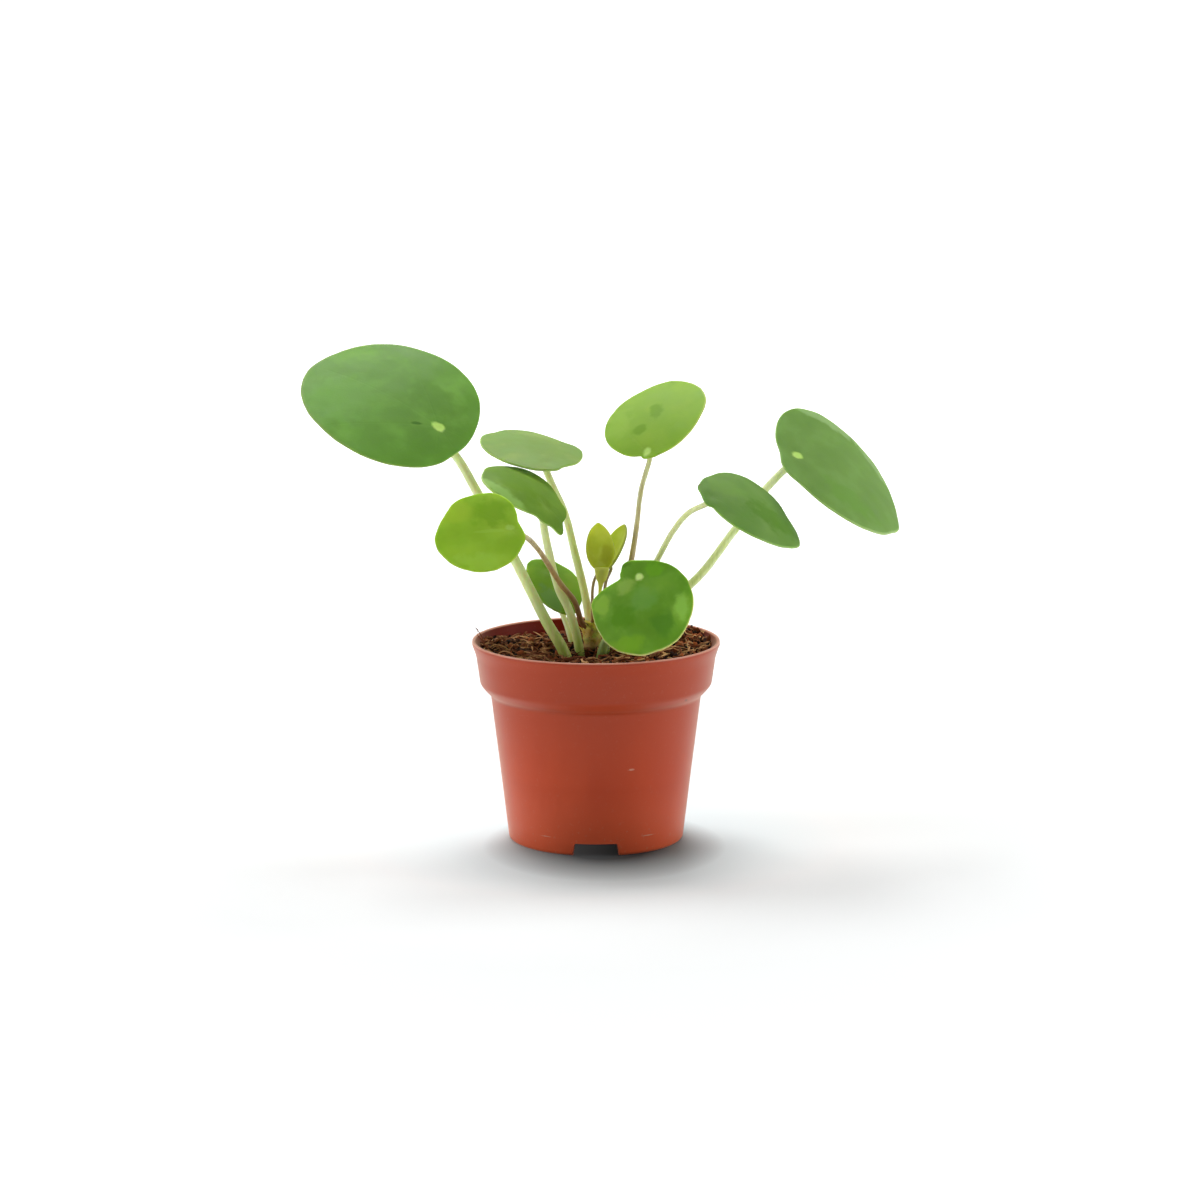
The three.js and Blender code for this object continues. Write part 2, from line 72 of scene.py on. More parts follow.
# The sheet's radius, and where the light from below starts and is full, in metres from the pot
SHEET_RADIUS = 12
GLOW_FROM = 0.12
GLOW_FULL = 0.85
GLOW = 0.78
SHEET_WHITE = "F2F4F4"
SHEET_BY_POT = "DEF2F6"
TINT_FROM = 60 * mm
TINT_FULL = 24 * mm
# The contact shadow: an oval, fading from its core to its edge, which are shares of its reach
SHADE_PLACE = (2 * mm, -10 * mm, 0)
SHADE_REACH = (21 * mm, 25 * mm, 1)
SHADE_EDGE = 1.4
SHADE_CORE = 0.55
SHADE_DEPTH = 0.95
# A painted pool of light on the sheet left of the pot: its strength, where it starts and is full along X, and
# how far from the pot it starts and is full
PAINTED_LEFT_LIGHT = 0.1
PAINTED_LEFT_LIGHT_FROM = 10 * mm
PAINTED_LEFT_LIGHT_FULL = -35 * mm
PAINTED_LEFT_LIGHT_FAR = 110 * mm
PAINTED_LEFT_LIGHT_NEAR = 45 * mm
# Each softbox: its place, what it faces, its width and height, all in metres, and its power in watts
SOFTBOXES = {
    "key_softbox": ((-0.07, 0.5, 0.93), (0, -0.01, 0.03), (0.6, 0.45), 8.6),
    "left_softbox": ((-0.8, -0.15, 0.3), (0, 0, 0.06), (0.6, 0.7), 3.1),
    "right_softbox": ((0.8, -0.15, 0.3), (0, 0, 0.06), (0.6, 0.7), 3.1),
}
TENT_OPENING = 0.1
TENT_WALLS = 0.5
TENT_EDGE = (-0.7, 0.5)


def linear(colour):
    """A hex sRGB colour as linear red, green, blue, alpha."""
    channels = [int(colour[i:i + 2], 16) / 255 for i in (0, 2, 4)]
    return [c / 12.92 if c <= 0.04045 else ((c + 0.055) / 1.055) ** 2.4 for c in channels] + [1]


def add(tree, kind, feeds=(), **settings):
    """Adds a node, sets its properties, and feeds its inputs, by name or in their order, with values or
    with other nodes."""
    node = tree.nodes.new(kind)
    for name, value in settings.items():
        setattr(node, name, value)
    for key, feed in feeds.items() if isinstance(feeds, dict) else enumerate(feeds):
        if isinstance(key, int):
            socket = node.inputs[key]
        else:
            socket = next(s for s in node.inputs if s.enabled and s.name == key)
        if isinstance(feed, bpy.types.Node):
            feed = next(s for s in feed.outputs if s.enabled)
        if isinstance(feed, bpy.types.NodeSocket):
            tree.links.new(feed, socket)
        else:
            socket.default_value = feed
    return node


def new_material(name):
    """An empty material and its node tree."""
    material = bpy.data.materials.new(name)
    material.use_nodes = True
    material.node_tree.nodes.clear()
    return material, material.node_tree


def new_object(name, mesh, material=None):
    """A mesh as an object of the scene."""
    piece = bpy.data.objects.new(name, mesh)
    bpy.context.scene.collection.objects.link(piece)
    if material:
        mesh.materials.clear()
        mesh.materials.append(material)
    return piece


def made_mesh(name, maker):
    """The mesh that a maker holds. The maker is freed."""
    mesh = bpy.data.meshes.new(name)
    maker.to_mesh(mesh)
    maker.free()
    return mesh


# White acrylic, lit from below everywhere but round the pot, so the far sheet stays pure white. By the
# pot it is tinted against the red that the clay throws on it, given a painted pool of light on the left,
# and drawn darker in front of the foot, a painted shadow where the photograph has a deep contact shadow.
white_sheet, sheet_tree = new_material("acrylic_opal_white")
on_sheet = add(sheet_tree, "ShaderNodeTexCoord").outputs["Object"]
from_pot = add(sheet_tree, "ShaderNodeVectorMath", [on_sheet], operation="LENGTH").outputs["Value"]
lit_from_below = add(sheet_tree, "ShaderNodeMapRange", {"Value": from_pot, "From Min": GLOW_FROM,
                                                        "From Max": GLOW_FULL, "To Max": GLOW})
# The painted pool of light: it grows to the left, and only near the pot
painted_left_light = add(sheet_tree, "ShaderNodeSeparateXYZ", {"Vector": on_sheet}).outputs["X"]
painted_left_light = add(sheet_tree, "ShaderNodeMapRange", {"Value": painted_left_light, "From Min": PAINTED_LEFT_LIGHT_FROM,
                                                     "From Max": PAINTED_LEFT_LIGHT_FULL, "To Max": PAINTED_LEFT_LIGHT})
painted_light_by_pot = add(sheet_tree, "ShaderNodeMapRange", {"Value": from_pot, "From Min": PAINTED_LEFT_LIGHT_FAR,
                                                "From Max": PAINTED_LEFT_LIGHT_NEAR})
lit_from_below = add(sheet_tree, "ShaderNodeMath", [painted_left_light, painted_light_by_pot, lit_from_below],
                     operation="MULTIPLY_ADD")
close_by = add(sheet_tree, "ShaderNodeMapRange", {"Value": from_pot, "From Min": TINT_FROM,
                                                  "From Max": TINT_FULL})
in_shade = add(sheet_tree, "ShaderNodeMapping", {"Vector": on_sheet, "Location": SHADE_PLACE,
                                                 "Scale": SHADE_REACH}, vector_type="TEXTURE")
in_shade = add(sheet_tree, "ShaderNodeVectorMath", [in_shade], operation="LENGTH").outputs["Value"]
in_shade = add(sheet_tree, "ShaderNodeMapRange", {"Value": in_shade, "From Min": SHADE_EDGE,
                                                  "From Max": SHADE_CORE, "To Max": SHADE_DEPTH})
sheet_colour = linear(SHEET_WHITE)
for share, colour in ((close_by, SHEET_BY_POT), (in_shade, "000000")):
    sheet_colour = add(sheet_tree, "ShaderNodeMix", {"Factor": share, "A": sheet_colour, "B": linear(colour)},
                       data_type="RGBA")
opal = add(sheet_tree, "ShaderNodeBsdfPrincipled", {
    "Base Color": sheet_colour, "Roughness": 0.9, "Emission Color": linear("FFFFFF"),
    "Emission Strength": lit_from_below})
add(sheet_tree, "ShaderNodeOutputMaterial", {"Surface": opal})

disc = bmesh.new()
bmesh.ops.create_circle(disc, cap_ends=True, segments=96, radius=SHEET_RADIUS)
table = new_object("table", made_mesh("table", disc), white_sheet)

for name, (place, aim, (width, height), power) in SOFTBOXES.items():
    lamp = bpy.data.lights.new(name, "AREA")
    lamp.shape = "RECTANGLE"
    lamp.size = width
    lamp.size_y = height
    lamp.energy = power
    light = bpy.data.objects.new(name, lamp)
    light.location = place
    light.rotation_euler = (Vector(aim) - Vector(place)).to_track_quat("-Z", "Y").to_euler()
    bpy.context.scene.collection.objects.link(light)

# The tent's cloth: bright walls, and a dark opening behind the camera
tent = bpy.data.worlds.new("light_tent")
tent.use_nodes = True
tent_tree = tent.node_tree
tent_tree.nodes.clear()
looking = add(tent_tree, "ShaderNodeTexCoord").outputs["Generated"]
towards_back = add(tent_tree, "ShaderNodeSeparateXYZ", {"Vector": looking}).outputs["Y"]
tent_light = add(tent_tree, "ShaderNodeMapRange", {
    "Value": towards_back, "From Min": TENT_EDGE[0], "From Max": TENT_EDGE[1], "To Min": TENT_OPENING,
    "To Max": TENT_WALLS}, interpolation_type="SMOOTHSTEP")
tent_glow = add(tent_tree, "ShaderNodeBackground", {"Color": linear("FFFFFF"), "Strength": tent_light})
add(tent_tree, "ShaderNodeOutputWorld", {"Surface": tent_glow})
bpy.context.scene.world = tent
bpy.context.scene.view_settings.view_transform = "Standard"


# ------------------------------------------------------------------ pot
# A thin-walled grower's pot, injection moulded in terracotta-coloured polypropylene. One wall runs
# from the flared lip over a collar and a soft shoulder to the foot ring, with a raised floor.
# Three low notches in the foot ring and four holes in the floor let the water out.

WALL_LEAN = 0.12
NOTCH_HEIGHT = 3.0
NOTCH_HALF_TOP = 5.2
NOTCH_HALF_FOOT = 5.7
NOTCH_CORNER = 0.6
NOTCH_ANGLES = (-90, 30, 150)
# Where points are wanted across the corner and the side of a notch, from its middle
NOTCH_SIDE = (4.6, 4.85, 5.02, 5.13, 5.19, 5.24, 5.4, 5.55, 5.7, 5.76)
FOOT_RADIUS = 21.1
FOOT_RING_FROM = 18
FLOOR_UNDERSIDE = 3.2
FLOOR_MIDDLE = 3.7
DRAIN_HOLES = 4
DRAIN_HOLE_RADIUS = 2.6
DRAIN_HOLE_RING = 11.5
DRILL_LENGTH = 4
POT_SEGMENT = 1.5
SMALLEST_SEGMENT = 0.6
# The points in a bend, and how much of a side a bend may take up
BEND_STEPS = 5
MOST_OF_A_SIDE = 0.48

# Corners of the turned profile: radius, height, and how far its rounding reaches. The extra ones with
# no rounding keep the soft shading of an edge from spreading over the flat wall next to it.
POT_PROFILE = [
    (0, 3.2, 0), (20.1, 3.2, 0.3), (19.75, 0, 0.25), (20.8, 0, 0.2), (21.15, 0.45, 0.3),
    (21.2, 0.9, 0), (21.69, 4.9, 0), (23.2, 17.5, 0), (25.3, 34.4, 0), (25.42, 35.4, 0.8),
    (26.6, 36.5, 0.7), (27.95, 38.1, 0.9), (28.1, 39.2, 0), (28.7, 43.4, 0), (28.95, 45.2, 1.6),
    (29.98, 47.9, 0.35), (29.8, 48.62, 0.25), (29.15, 48.5, 0.25),
    (28.3, 45.6, 1.2), (27.15, 38.4, 1), (24.7, 36, 1), (22.4, 17.5, 0), (20.65, 5.6, 1),
    (19, 4.2, 1.2), (0, 4.2, 0),
]


def rounded(corners, steps):
    """The corner points with each corner replaced by a smooth bend."""
    path = []
    for i, (x, y, reach) in enumerate(corners):
        corner = Vector((x, y))
        if reach == 0:
            path.append(corner)
            continue
        before = Vector(corners[i - 1][:2]) - corner
        after = Vector(corners[i + 1][:2]) - corner
        start = corner + before.normalized() * min(reach, before.length * MOST_OF_A_SIDE)
        end = corner + after.normalized() * min(reach, after.length * MOST_OF_A_SIDE)
        for step in range(steps + 1):
            t = step / steps
            path.append(start * (1 - t) ** 2 + corner * 2 * t * (1 - t) + end * t ** 2)
    return path


def degrees_between(one, other):
    """The smaller angle between two bearings, in degrees."""
    return abs((one - other + 180) % 360 - 180)


def notch_lift(angle):
    """How high the foot ring's edge is lifted at an angle, in degrees: the outline of a notch."""
    away = min(degrees_between(angle, centre) for centre in NOTCH_ANGLES)
    aside = FOOT_RADIUS * math.sin(math.radians(away))
    shoulder = NOTCH_HALF_TOP - NOTCH_CORNER
    if aside <= shoulder:
        return NOTCH_HEIGHT
    if aside <= NOTCH_HALF_TOP:
        return NOTCH_HEIGHT - NOTCH_CORNER + math.sqrt(max(0, NOTCH_CORNER ** 2 - (aside - shoulder) ** 2))
    slope = (NOTCH_HALF_FOOT - aside) / (NOTCH_HALF_FOOT - NOTCH_HALF_TOP)
    return max(0, (NOTCH_HEIGHT - NOTCH_CORNER) * slope)


def pot_angles():
    """Even steps round the pot, with extra ones at the sides of the notches."""
    extra = [math.degrees(math.asin(edge / FOOT_RADIUS)) for edge in NOTCH_SIDE]
    angles = [centre + side * e for centre in NOTCH_ANGLES for side in (-1, 1) for e in extra]
    for step in range(round(360 / POT_SEGMENT)):
        angle = step * POT_SEGMENT
        if all(degrees_between(angle, other) > SMALLEST_SEGMENT for other in angles):
            angles.append(angle)
    return sorted(angle % 360 for angle in angles)


def turned(name, profile, angles, lift):
    """A closed mesh turned from a profile whose ends lie on the axis, with its foot lifted in places."""
    body = bmesh.new()
    columns = []
    poles = [body.verts.new((0, 0, profile[end].y * mm)) for end in (0, -1)]
    for angle in angles:
        turn = math.radians(angle)
        raised = lift(angle)
        column = []
        for point in profile[1:-1]:
            radius, z = point
            if raised and z < FLOOR_UNDERSIDE and radius > FOOT_RING_FROM:
                z = raised + z * (FLOOR_UNDERSIDE - raised) / FLOOR_UNDERSIDE
                radius += (z - point.y) * WALL_LEAN
            x, y = radius * math.cos(turn), radius * math.sin(turn)
            column.append(body.verts.new((x * mm, y * mm, z * mm)))
        columns.append([poles[0], *column, poles[1]])
    for here, there in zip(columns, columns[1:] + columns[:1]):
        for i in range(len(profile) - 1):
            corners = [here[i], there[i], there[i + 1], here[i + 1]]
            body.faces.new(list(dict.fromkeys(corners)))
    return made_mesh(name, body)


def smooth(mesh, sharp_from):
    """Smooth shading, with creases kept where faces meet at a steeper angle, in degrees."""
    mesh.shade_smooth()
    mesh.set_sharp_from_angle(angle=math.radians(sharp_from))


def settled(piece, name):
    """The piece with its modifiers applied, as a new plain object; the working object is removed."""
    evaluated = piece.evaluated_get(bpy.context.evaluated_depsgraph_get())
    mesh = bpy.data.meshes.new_from_object(evaluated)
    mesh.name = name
    bpy.data.objects.remove(piece)
    return new_object(name, mesh)


pot_mesh = turned("pot_wall", rounded(POT_PROFILE, BEND_STEPS), pot_angles(), notch_lift)
pot_blank = new_object("pot_blank", pot_mesh)
drill = bmesh.new()
for hole in range(DRAIN_HOLES):
    turn = 2 * math.pi * (hole + 0.5) / DRAIN_HOLES
    x, y = DRAIN_HOLE_RING * math.cos(turn), DRAIN_HOLE_RING * math.sin(turn)
    place = Matrix.Translation((x * mm, y * mm, FLOOR_MIDDLE * mm))
    bmesh.ops.create_cone(drill, cap_ends=True, segments=40, radius1=DRAIN_HOLE_RADIUS * mm,
                          radius2=DRAIN_HOLE_RADIUS * mm, depth=DRILL_LENGTH * mm, matrix=place)
drill_bits = new_object("drain_drill", made_mesh("drain_drill", drill))
drilling = pot_blank.modifiers.new("drain_holes", "BOOLEAN")
drilling.object = drill_bits
drilling.operation = "DIFFERENCE"
drilling.solver = "EXACT"
moulded_pot = settled(pot_blank, "moulded_pot")
bpy.data.objects.remove(drill_bits)
smooth(moulded_pot.data, 38)

# Injection-moulded polypropylene, terracotta pigment. The mould leaves a satin skin, so the studio
# shows in it as broad pale bands, with a trace of flow marks, dust at the foot and a few scuffs.
# Its colour also carries painted shade on the upper wall, in the crease under the shoulder and on the
# inner face of the collar, painted light low on the wall by the foot, and a painted highlight on the lip.
POT_CLAY = "C6461A"
POT_DEEP = "BE4016"
# Painted shade, laid over the upper wall
POT_UPPER_SHADE = "AC3C18"
# Painted light, laid over the wall low down by the foot
POT_FOOT_LIGHT = "DE5C34"
# Painted shade on the inner face of the collar
POT_INSIDE_SHADE = "86200A"
# A painted highlight along the top of the lip
POT_LIP_HIGHLIGHT = "E0A088"
# Painted shade in the crease under the shoulder
POT_CREASE_SHADE = "7A2A14"
POT_DUST = "C79A86"
POT_DUST_SHEEN = "F4CCB0"
POT_SCUFF = "D9A48F"
POT_NICK = "4A2118"
FLOW_MARK = 14 * mm
SKIN_GRAIN = 0.35 * mm
SPECK = 0.9 * mm
SCUFF_GRAIN = 0.5 * mm
# Where the skin changes with height, as painted shade on the upper wall, painted light by the foot, the
# collar, and a painted highlight on the lip: where each change starts, where it is full, and how strong it is
SHADE_ON_UPPER_WALL = (18 * mm, 38 * mm, 1.0)
LIGHT_BY_FOOT = (16 * mm, 1 * mm, 1.0)
COLLAR = (38 * mm, 40 * mm, 1.0)
HIGHLIGHT_ON_LIP = (48.15 * mm, 48.4 * mm, 0.8)
DUSTY_BELOW = 9 * mm
DUST_AT_FOOT = 0.5
DUST_ABOVE = 0.08
# Painted shade in the crease under the shoulder: its height, the distances from it where the shade starts and
# is full, and its strength
CREASE_HEIGHT = 35.9 * mm
CREASE_EDGE = 1.3 * mm
CREASE_CORE = 0.3 * mm
SHADE_IN_CREASE = 0.18
# The collar leans out by this share of its height. Less that, its outer face lies further out than its
# middle and its inner face further in.
COLLAR_LEAN = 0.15
COLLAR_MIDDLE = (22.05 * mm, 21.95 * mm)
# Marks of handling, each a place on the wall, its half-lengths along X and Z, and its colour
MARKS = [
    ((-11.9, -17.8, 4.2), (1.5, 0.16), POT_SCUFF), ((12.4, -17.4, 4.4), (1.8, 0.16), POT_SCUFF),
    ((8.4, -22.4, 21.4), (0.9, 0.3), POT_SCUFF), ((21.4, -15.5, 37), (0.45, 0.6), POT_NICK),
]
MARK_DEPTH = 3

pot_plastic, pot_tree = new_material("polypropylene_moulded_terracotta")
on_pot = add(pot_tree, "ShaderNodeTexCoord").outputs["Object"]
drawn_down = add(pot_tree, "ShaderNodeMapping", {"Vector": on_pot, "Scale": (1, 1, 0.25)})
flow = add(pot_tree, "ShaderNodeTexNoise", {"Vector": drawn_down, "Scale": 1 / FLOW_MARK, "Detail": 4})
flow_share = add(pot_tree, "ShaderNodeMapRange", {"Value": flow, "From Min": 0.35, "From Max": 0.68})
height = add(pot_tree, "ShaderNodeSeparateXYZ", {"Vector": on_pot}).outputs["Z"]
upper_shade, foot_light, on_collar, lip_highlight = [
    add(pot_tree, "ShaderNodeMapRange", {"Value": height, "From Min": start, "From Max": full,
                                         "To Max": share})
    for start, full, share in (SHADE_ON_UPPER_WALL, LIGHT_BY_FOOT, COLLAR, HIGHLIGHT_ON_LIP)]

to_crease = add(pot_tree, "ShaderNodeMath", [height, CREASE_HEIGHT], operation="SUBTRACT")
to_crease = add(pot_tree, "ShaderNodeMath", [to_crease], operation="ABSOLUTE")
crease_shade = add(pot_tree, "ShaderNodeMapRange", {
    "Value": to_crease, "From Min": CREASE_EDGE, "From Max": CREASE_CORE, "To Max": SHADE_IN_CREASE},
    interpolation_type="SMOOTHSTEP")

across = add(pot_tree, "ShaderNodeVectorMath", [on_pot, (1, 1, 0)], operation="MULTIPLY")
from_axis = add(pot_tree, "ShaderNodeVectorMath", [across], operation="LENGTH").outputs["Value"]
through_wall = add(pot_tree, "ShaderNodeMath", [height, -COLLAR_LEAN, from_axis],
                   operation="MULTIPLY_ADD")
# The inner face of the collar: it is painted in shade and given less shine
inside = add(pot_tree, "ShaderNodeMapRange", {"Value": through_wall, "From Min": COLLAR_MIDDLE[0],
                                              "From Max": COLLAR_MIDDLE[1]})
inside = add(pot_tree, "ShaderNodeMath", [inside, on_collar], operation="MULTIPLY")

near_foot = add(pot_tree, "ShaderNodeMapRange", {"Value": height, "From Min": 0, "From Max": DUSTY_BELOW,
                                                 "To Min": DUST_AT_FOOT, "To Max": DUST_ABOVE})
specks = add(pot_tree, "ShaderNodeTexNoise", {"Vector": on_pot, "Scale": 1 / SPECK, "Detail": 3})
speck_share = add(pot_tree, "ShaderNodeMapRange", {"Value": specks, "From Min": 0.62, "From Max": 0.78})
dust_share = add(pot_tree, "ShaderNodeMath", [near_foot, speck_share], operation="MULTIPLY")

# What lies over the clay colour, from below upwards: the share of each layer, and its colour
layers = [
    (flow_share, POT_DEEP), (upper_shade, POT_UPPER_SHADE), (foot_light, POT_FOOT_LIGHT), (crease_shade, POT_CREASE_SHADE),
    (inside, POT_INSIDE_SHADE), (lip_highlight, POT_LIP_HIGHLIGHT), (dust_share, POT_DUST),
]
ragged = add(pot_tree, "ShaderNodeTexNoise", {"Vector": on_pot, "Scale": 1 / SCUFF_GRAIN, "Detail": 2})
for place, (along, up), colour in MARKS:
    from_mark = add(pot_tree, "ShaderNodeMapping", {
        "Vector": on_pot, "Location": Vector(place) * mm, "Scale": Vector((along, MARK_DEPTH, up)) * mm},
        vector_type="TEXTURE")
    away = add(pot_tree, "ShaderNodeVectorMath", [from_mark], operation="LENGTH").outputs["Value"]
    worn = add(pot_tree, "ShaderNodeMath", [ragged, 0.9, away], operation="MULTIPLY_ADD")
    worn_share = add(pot_tree, "ShaderNodeMapRange", {"Value": worn, "From Min": 1.5, "From Max": 0.8,
                                                      "To Max": 0.75})
    layers.append((worn_share, colour))
skin = linear(POT_CLAY)
for share, colour in layers:
    skin = add(pot_tree, "ShaderNodeMix", {"Factor": share, "A": skin, "B": linear(colour)}, data_type="RGBA")

grain = add(pot_tree, "ShaderNodeTexNoise", {"Vector": on_pot, "Scale": 1 / SKIN_GRAIN, "Detail": 2})
gloss = add(pot_tree, "ShaderNodeMapRange", {"Value": flow, "To Min": 0.3, "To Max": 0.4})
shine = add(pot_tree, "ShaderNodeMapRange", {"Value": inside, "To Min": 0.31, "To Max": 0.08})
pot_relief = add(pot_tree, "ShaderNodeBump", {"Strength": 0.12, "Distance": 0.05 * mm, "Height": grain})
pot_skin = add(pot_tree, "ShaderNodeBsdfPrincipled", {
    "Base Color": skin, "Roughness": gloss, "IOR": 1.49, "Specular IOR Level": shine, "Sheen Weight": 0.7,
    "Sheen Roughness": 0.35, "Sheen Tint": linear(POT_DUST_SHEEN), "Normal": pot_relief})
add(pot_tree, "ShaderNodeOutputMaterial", {"Surface": pot_skin})

moulded_pot.data.materials.append(pot_plastic)
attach(moulded_pot, "root")
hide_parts("pot")


# ------------------------------------------------------------------ potting soil
# Dark peat and coir, tipped in and pressed down by hand. It fills the pot to just under the lip,
# stands higher on the right, and is washed into a hollow in front of the petioles. Crumbs of peat
# and a felt of coir fibres lie loose on it.

SOIL_LEVEL = 46.1
SOIL_SAG = 0.4
SOIL_PROFILE = [(0, 4.5), (18.6, 4.5), (20.6, 6.3), (24.2, 36.2), (26.8, 39.1)]
SOIL_EDGE = 27.75
SOIL_RING_STEP = 0.55
SOIL_SPOKES = 150
INNER_WALL = 27.9
CRUMBS_PER_SQUARE_METRE = 560000.0
SMALLEST_CRUMB = (0.25 * mm, 0.22 * mm, 0.15 * mm)
LARGEST_CRUMB = (1.7 * mm, 1.1 * mm, 0.85 * mm)
FIBRES_PER_SQUARE_METRE = 210000.0
FIBRE_TAPER = 3.2
# The least and the greatest turn about each axis of a crumb, and of a fibre, which lies nearly flat
CRUMB_TURNS = ((0, 0, 0), (6.28, 6.28, 6.28))
FIBRE_TURNS = ((0, -0.3, 0), (6.28, 0.3, 6.28))
SWELLING_FROM = 0.965
RIPPLE = 4 * mm


def soil_height(x, y):
    """How high the soil lies at a place, in millimetres, without its crumbs."""
    def rise(value, low, high):
        t = min(1, max(0, (value - low) / (high - low)))
        return t * t * (3 - 2 * t)
    heap = 1.7 * rise(x, 2, 20) + 1.1 * math.exp(-((x - 22) ** 2 + (y - 13) ** 2) / 40)
    bank = 1.1 * rise(-x, 19, 27)
    hollow = 1.6 * math.exp(-((x + 2.6) ** 2 + (y + 6) ** 2) / 26)
    lumps = 0.3 * math.sin(0.9 * x + 0.4 * y) * math.cos(0.8 * y - 0.3 * x) + 0.2 * math.sin(1.9 * y + x)
    crumble = 0.55 * noise.noise((x / 2.6, y / 2.6, 1)) + 0.3 * noise.noise((x / 1.1, y / 1.1, 5))
    sag = SOIL_SAG + 0.7 * rise(y, 6, 20) * rise(-x, -6, 8)
    return SOIL_LEVEL + heap + bank - hollow + lumps + crumble - sag


def join_rings(body, rings):
    """Faces between each ring of points and the next."""
    for lower, upper in zip(rings, rings[1:]):
        for i in range(len(lower)):
            j = (i + 1) % len(lower)
            body.faces.new((lower[i], lower[j], upper[j], upper[i]))


def soil_meshes():
    """The whole plug of soil, and its top by itself for the loose things to lie on."""
    steps = round(SOIL_EDGE / SOIL_RING_STEP)
    top_rings = [(SOIL_EDGE * (steps - i) / steps, None) for i in range(steps)]
    meshes = []
    for name, rings in (("potting_soil", SOIL_PROFILE[1:] + top_rings), ("soil_top", top_rings)):
        body = bmesh.new()
        made = []
        for radius, height in rings:
            ring = []
            for spoke in range(SOIL_SPOKES):
                turn = 2 * math.pi * spoke / SOIL_SPOKES
                x, y = radius * math.cos(turn), radius * math.sin(turn)
                ring.append(body.verts.new((x * mm, y * mm, (height or soil_height(x, y)) * mm)))
            made.append(ring)
        middle = body.verts.new((0, 0, soil_height(0, 0) * mm))
        join_rings(body, made)
        for i in range(SOIL_SPOKES):
            body.faces.new((made[-1][i], made[-1][(i + 1) % SOIL_SPOKES], middle))
        if name == "potting_soil":
            bottom = body.verts.new((0, 0, SOIL_PROFILE[0][1] * mm))
            for i in range(SOIL_SPOKES):
                body.faces.new((made[0][(i + 1) % SOIL_SPOKES], made[0][i], bottom))
        meshes.append(made_mesh(name, body))
    return meshes


def new_tree(name, sizes):
    """A Geometry Nodes tree with named inputs, its group input's sockets, and its output node."""
    tree = bpy.data.node_groups.new(name, "GeometryNodeTree")
    tree.interface.new_socket("Geometry", in_out="INPUT", socket_type="NodeSocketGeometry")
    for size, kind in sizes.items():
        tree.interface.new_socket(size, in_out="INPUT", socket_type="NodeSocket" + kind)
    tree.interface.new_socket("Geometry", in_out="OUTPUT", socket_type="NodeSocketGeometry")
    return tree, tree.nodes.new("NodeGroupInput").outputs, tree.nodes.new("NodeGroupOutput")


def grown(name, mesh, tree, sizes):
    """The piece that a tree makes from a mesh with these sizes, settled to a plain mesh."""
    working = new_object(name + "_working", mesh)
    modifier = working.modifiers.new(tree.name, "NODES")
    modifier.node_group = tree
    for item in tree.interface.items_tree:
        if item.in_out == "INPUT" and item.name in sizes:
            modifier[item.identifier] = sizes[item.name]
    return settled(working, name)


def end_tree(tree, given, result, geometry):
    """Ends a tree as the export needs it: with real geometry, in its material."""
    whole = add(tree, "GeometryNodeRealizeInstances", {"Geometry": geometry})
    dressed = add(tree, "GeometryNodeSetMaterial", {"Geometry": whole, "Material": given["Material"]})
    tree.links.new(dressed.outputs[0], result.inputs[0])


def strewn(tree, given, thing, turns, scale, tone_seed):
    """Strews a thing over the ground, each one turned at random and with a tone of its own."""
    spots = add(tree, "GeometryNodeDistributePointsOnFaces",
                {"Mesh": given["Geometry"], "Density": given["Density"], "Seed": given["Seed"]})
    turn = add(tree, "FunctionNodeRandomValue", {"Min": turns[0], "Max": turns[1], "Seed": given["Seed"]},
               data_type="FLOAT_VECTOR")
    turn = add(tree, "FunctionNodeEulerToRotation", {"Euler": turn})
    laid = add(tree, "GeometryNodeInstanceOnPoints", {"Points": spots, "Instance": thing, "Rotation": turn,
                                                      "Scale": scale})
    tone = add(tree, "FunctionNodeRandomValue", {"Min": 0.0, "Max": 1.0, "Seed": tone_seed},
               data_type="FLOAT")
    return add(tree, "GeometryNodeStoreNamedAttribute", {"Geometry": laid, "Name": "tone", "Value": tone},
               data_type="FLOAT", domain="INSTANCE")


def held_in_pot(tree, given, geometry):
    """Draws whatever would stick through the wall of the pot back in towards the axis."""
    place = add(tree, "GeometryNodeInputPosition")
    level = add(tree, "ShaderNodeVectorMath", [place, (1, 1, 0)], operation="MULTIPLY")
    reach = add(tree, "ShaderNodeVectorMath", [level], operation="LENGTH").outputs["Value"]
    room = add(tree, "ShaderNodeMath", [given["Wall Radius"], reach], operation="DIVIDE")
    room = add(tree, "ShaderNodeMath", [room, 1.0], operation="MINIMUM")
    squeeze = add(tree, "ShaderNodeCombineXYZ", {"X": room, "Y": room, "Z": 1.0})
    inside = add(tree, "ShaderNodeVectorMath", [place, squeeze], operation="MULTIPLY")
    return add(tree, "GeometryNodeSetPosition", {"Geometry": geometry, "Position": inside})


# Crumbs: one lumpy pebble shape, scattered, turned and squashed, then roughened where it lies
crumb_tree, given, crumb_result = new_tree("peat_crumbs", {
    "Density": "Float", "Smallest": "Vector", "Largest": "Vector", "Roughening": "Float",
    "Roughening Size": "Float", "Wall Radius": "Float", "Seed": "Int", "Material": "Material"})
pebble = add(crumb_tree, "GeometryNodeMeshIcoSphere", {"Radius": 1.0, "Subdivisions": 1})
crumb_size = add(crumb_tree, "FunctionNodeRandomValue", {
    "Min": given["Smallest"], "Max": given["Largest"], "Seed": 11}, data_type="FLOAT_VECTOR")
crumbs = strewn(crumb_tree, given, pebble, CRUMB_TURNS, crumb_size, 5)
crumbs = add(crumb_tree, "GeometryNodeRealizeInstances", {"Geometry": crumbs})
crumb_place = add(crumb_tree, "GeometryNodeInputPosition")
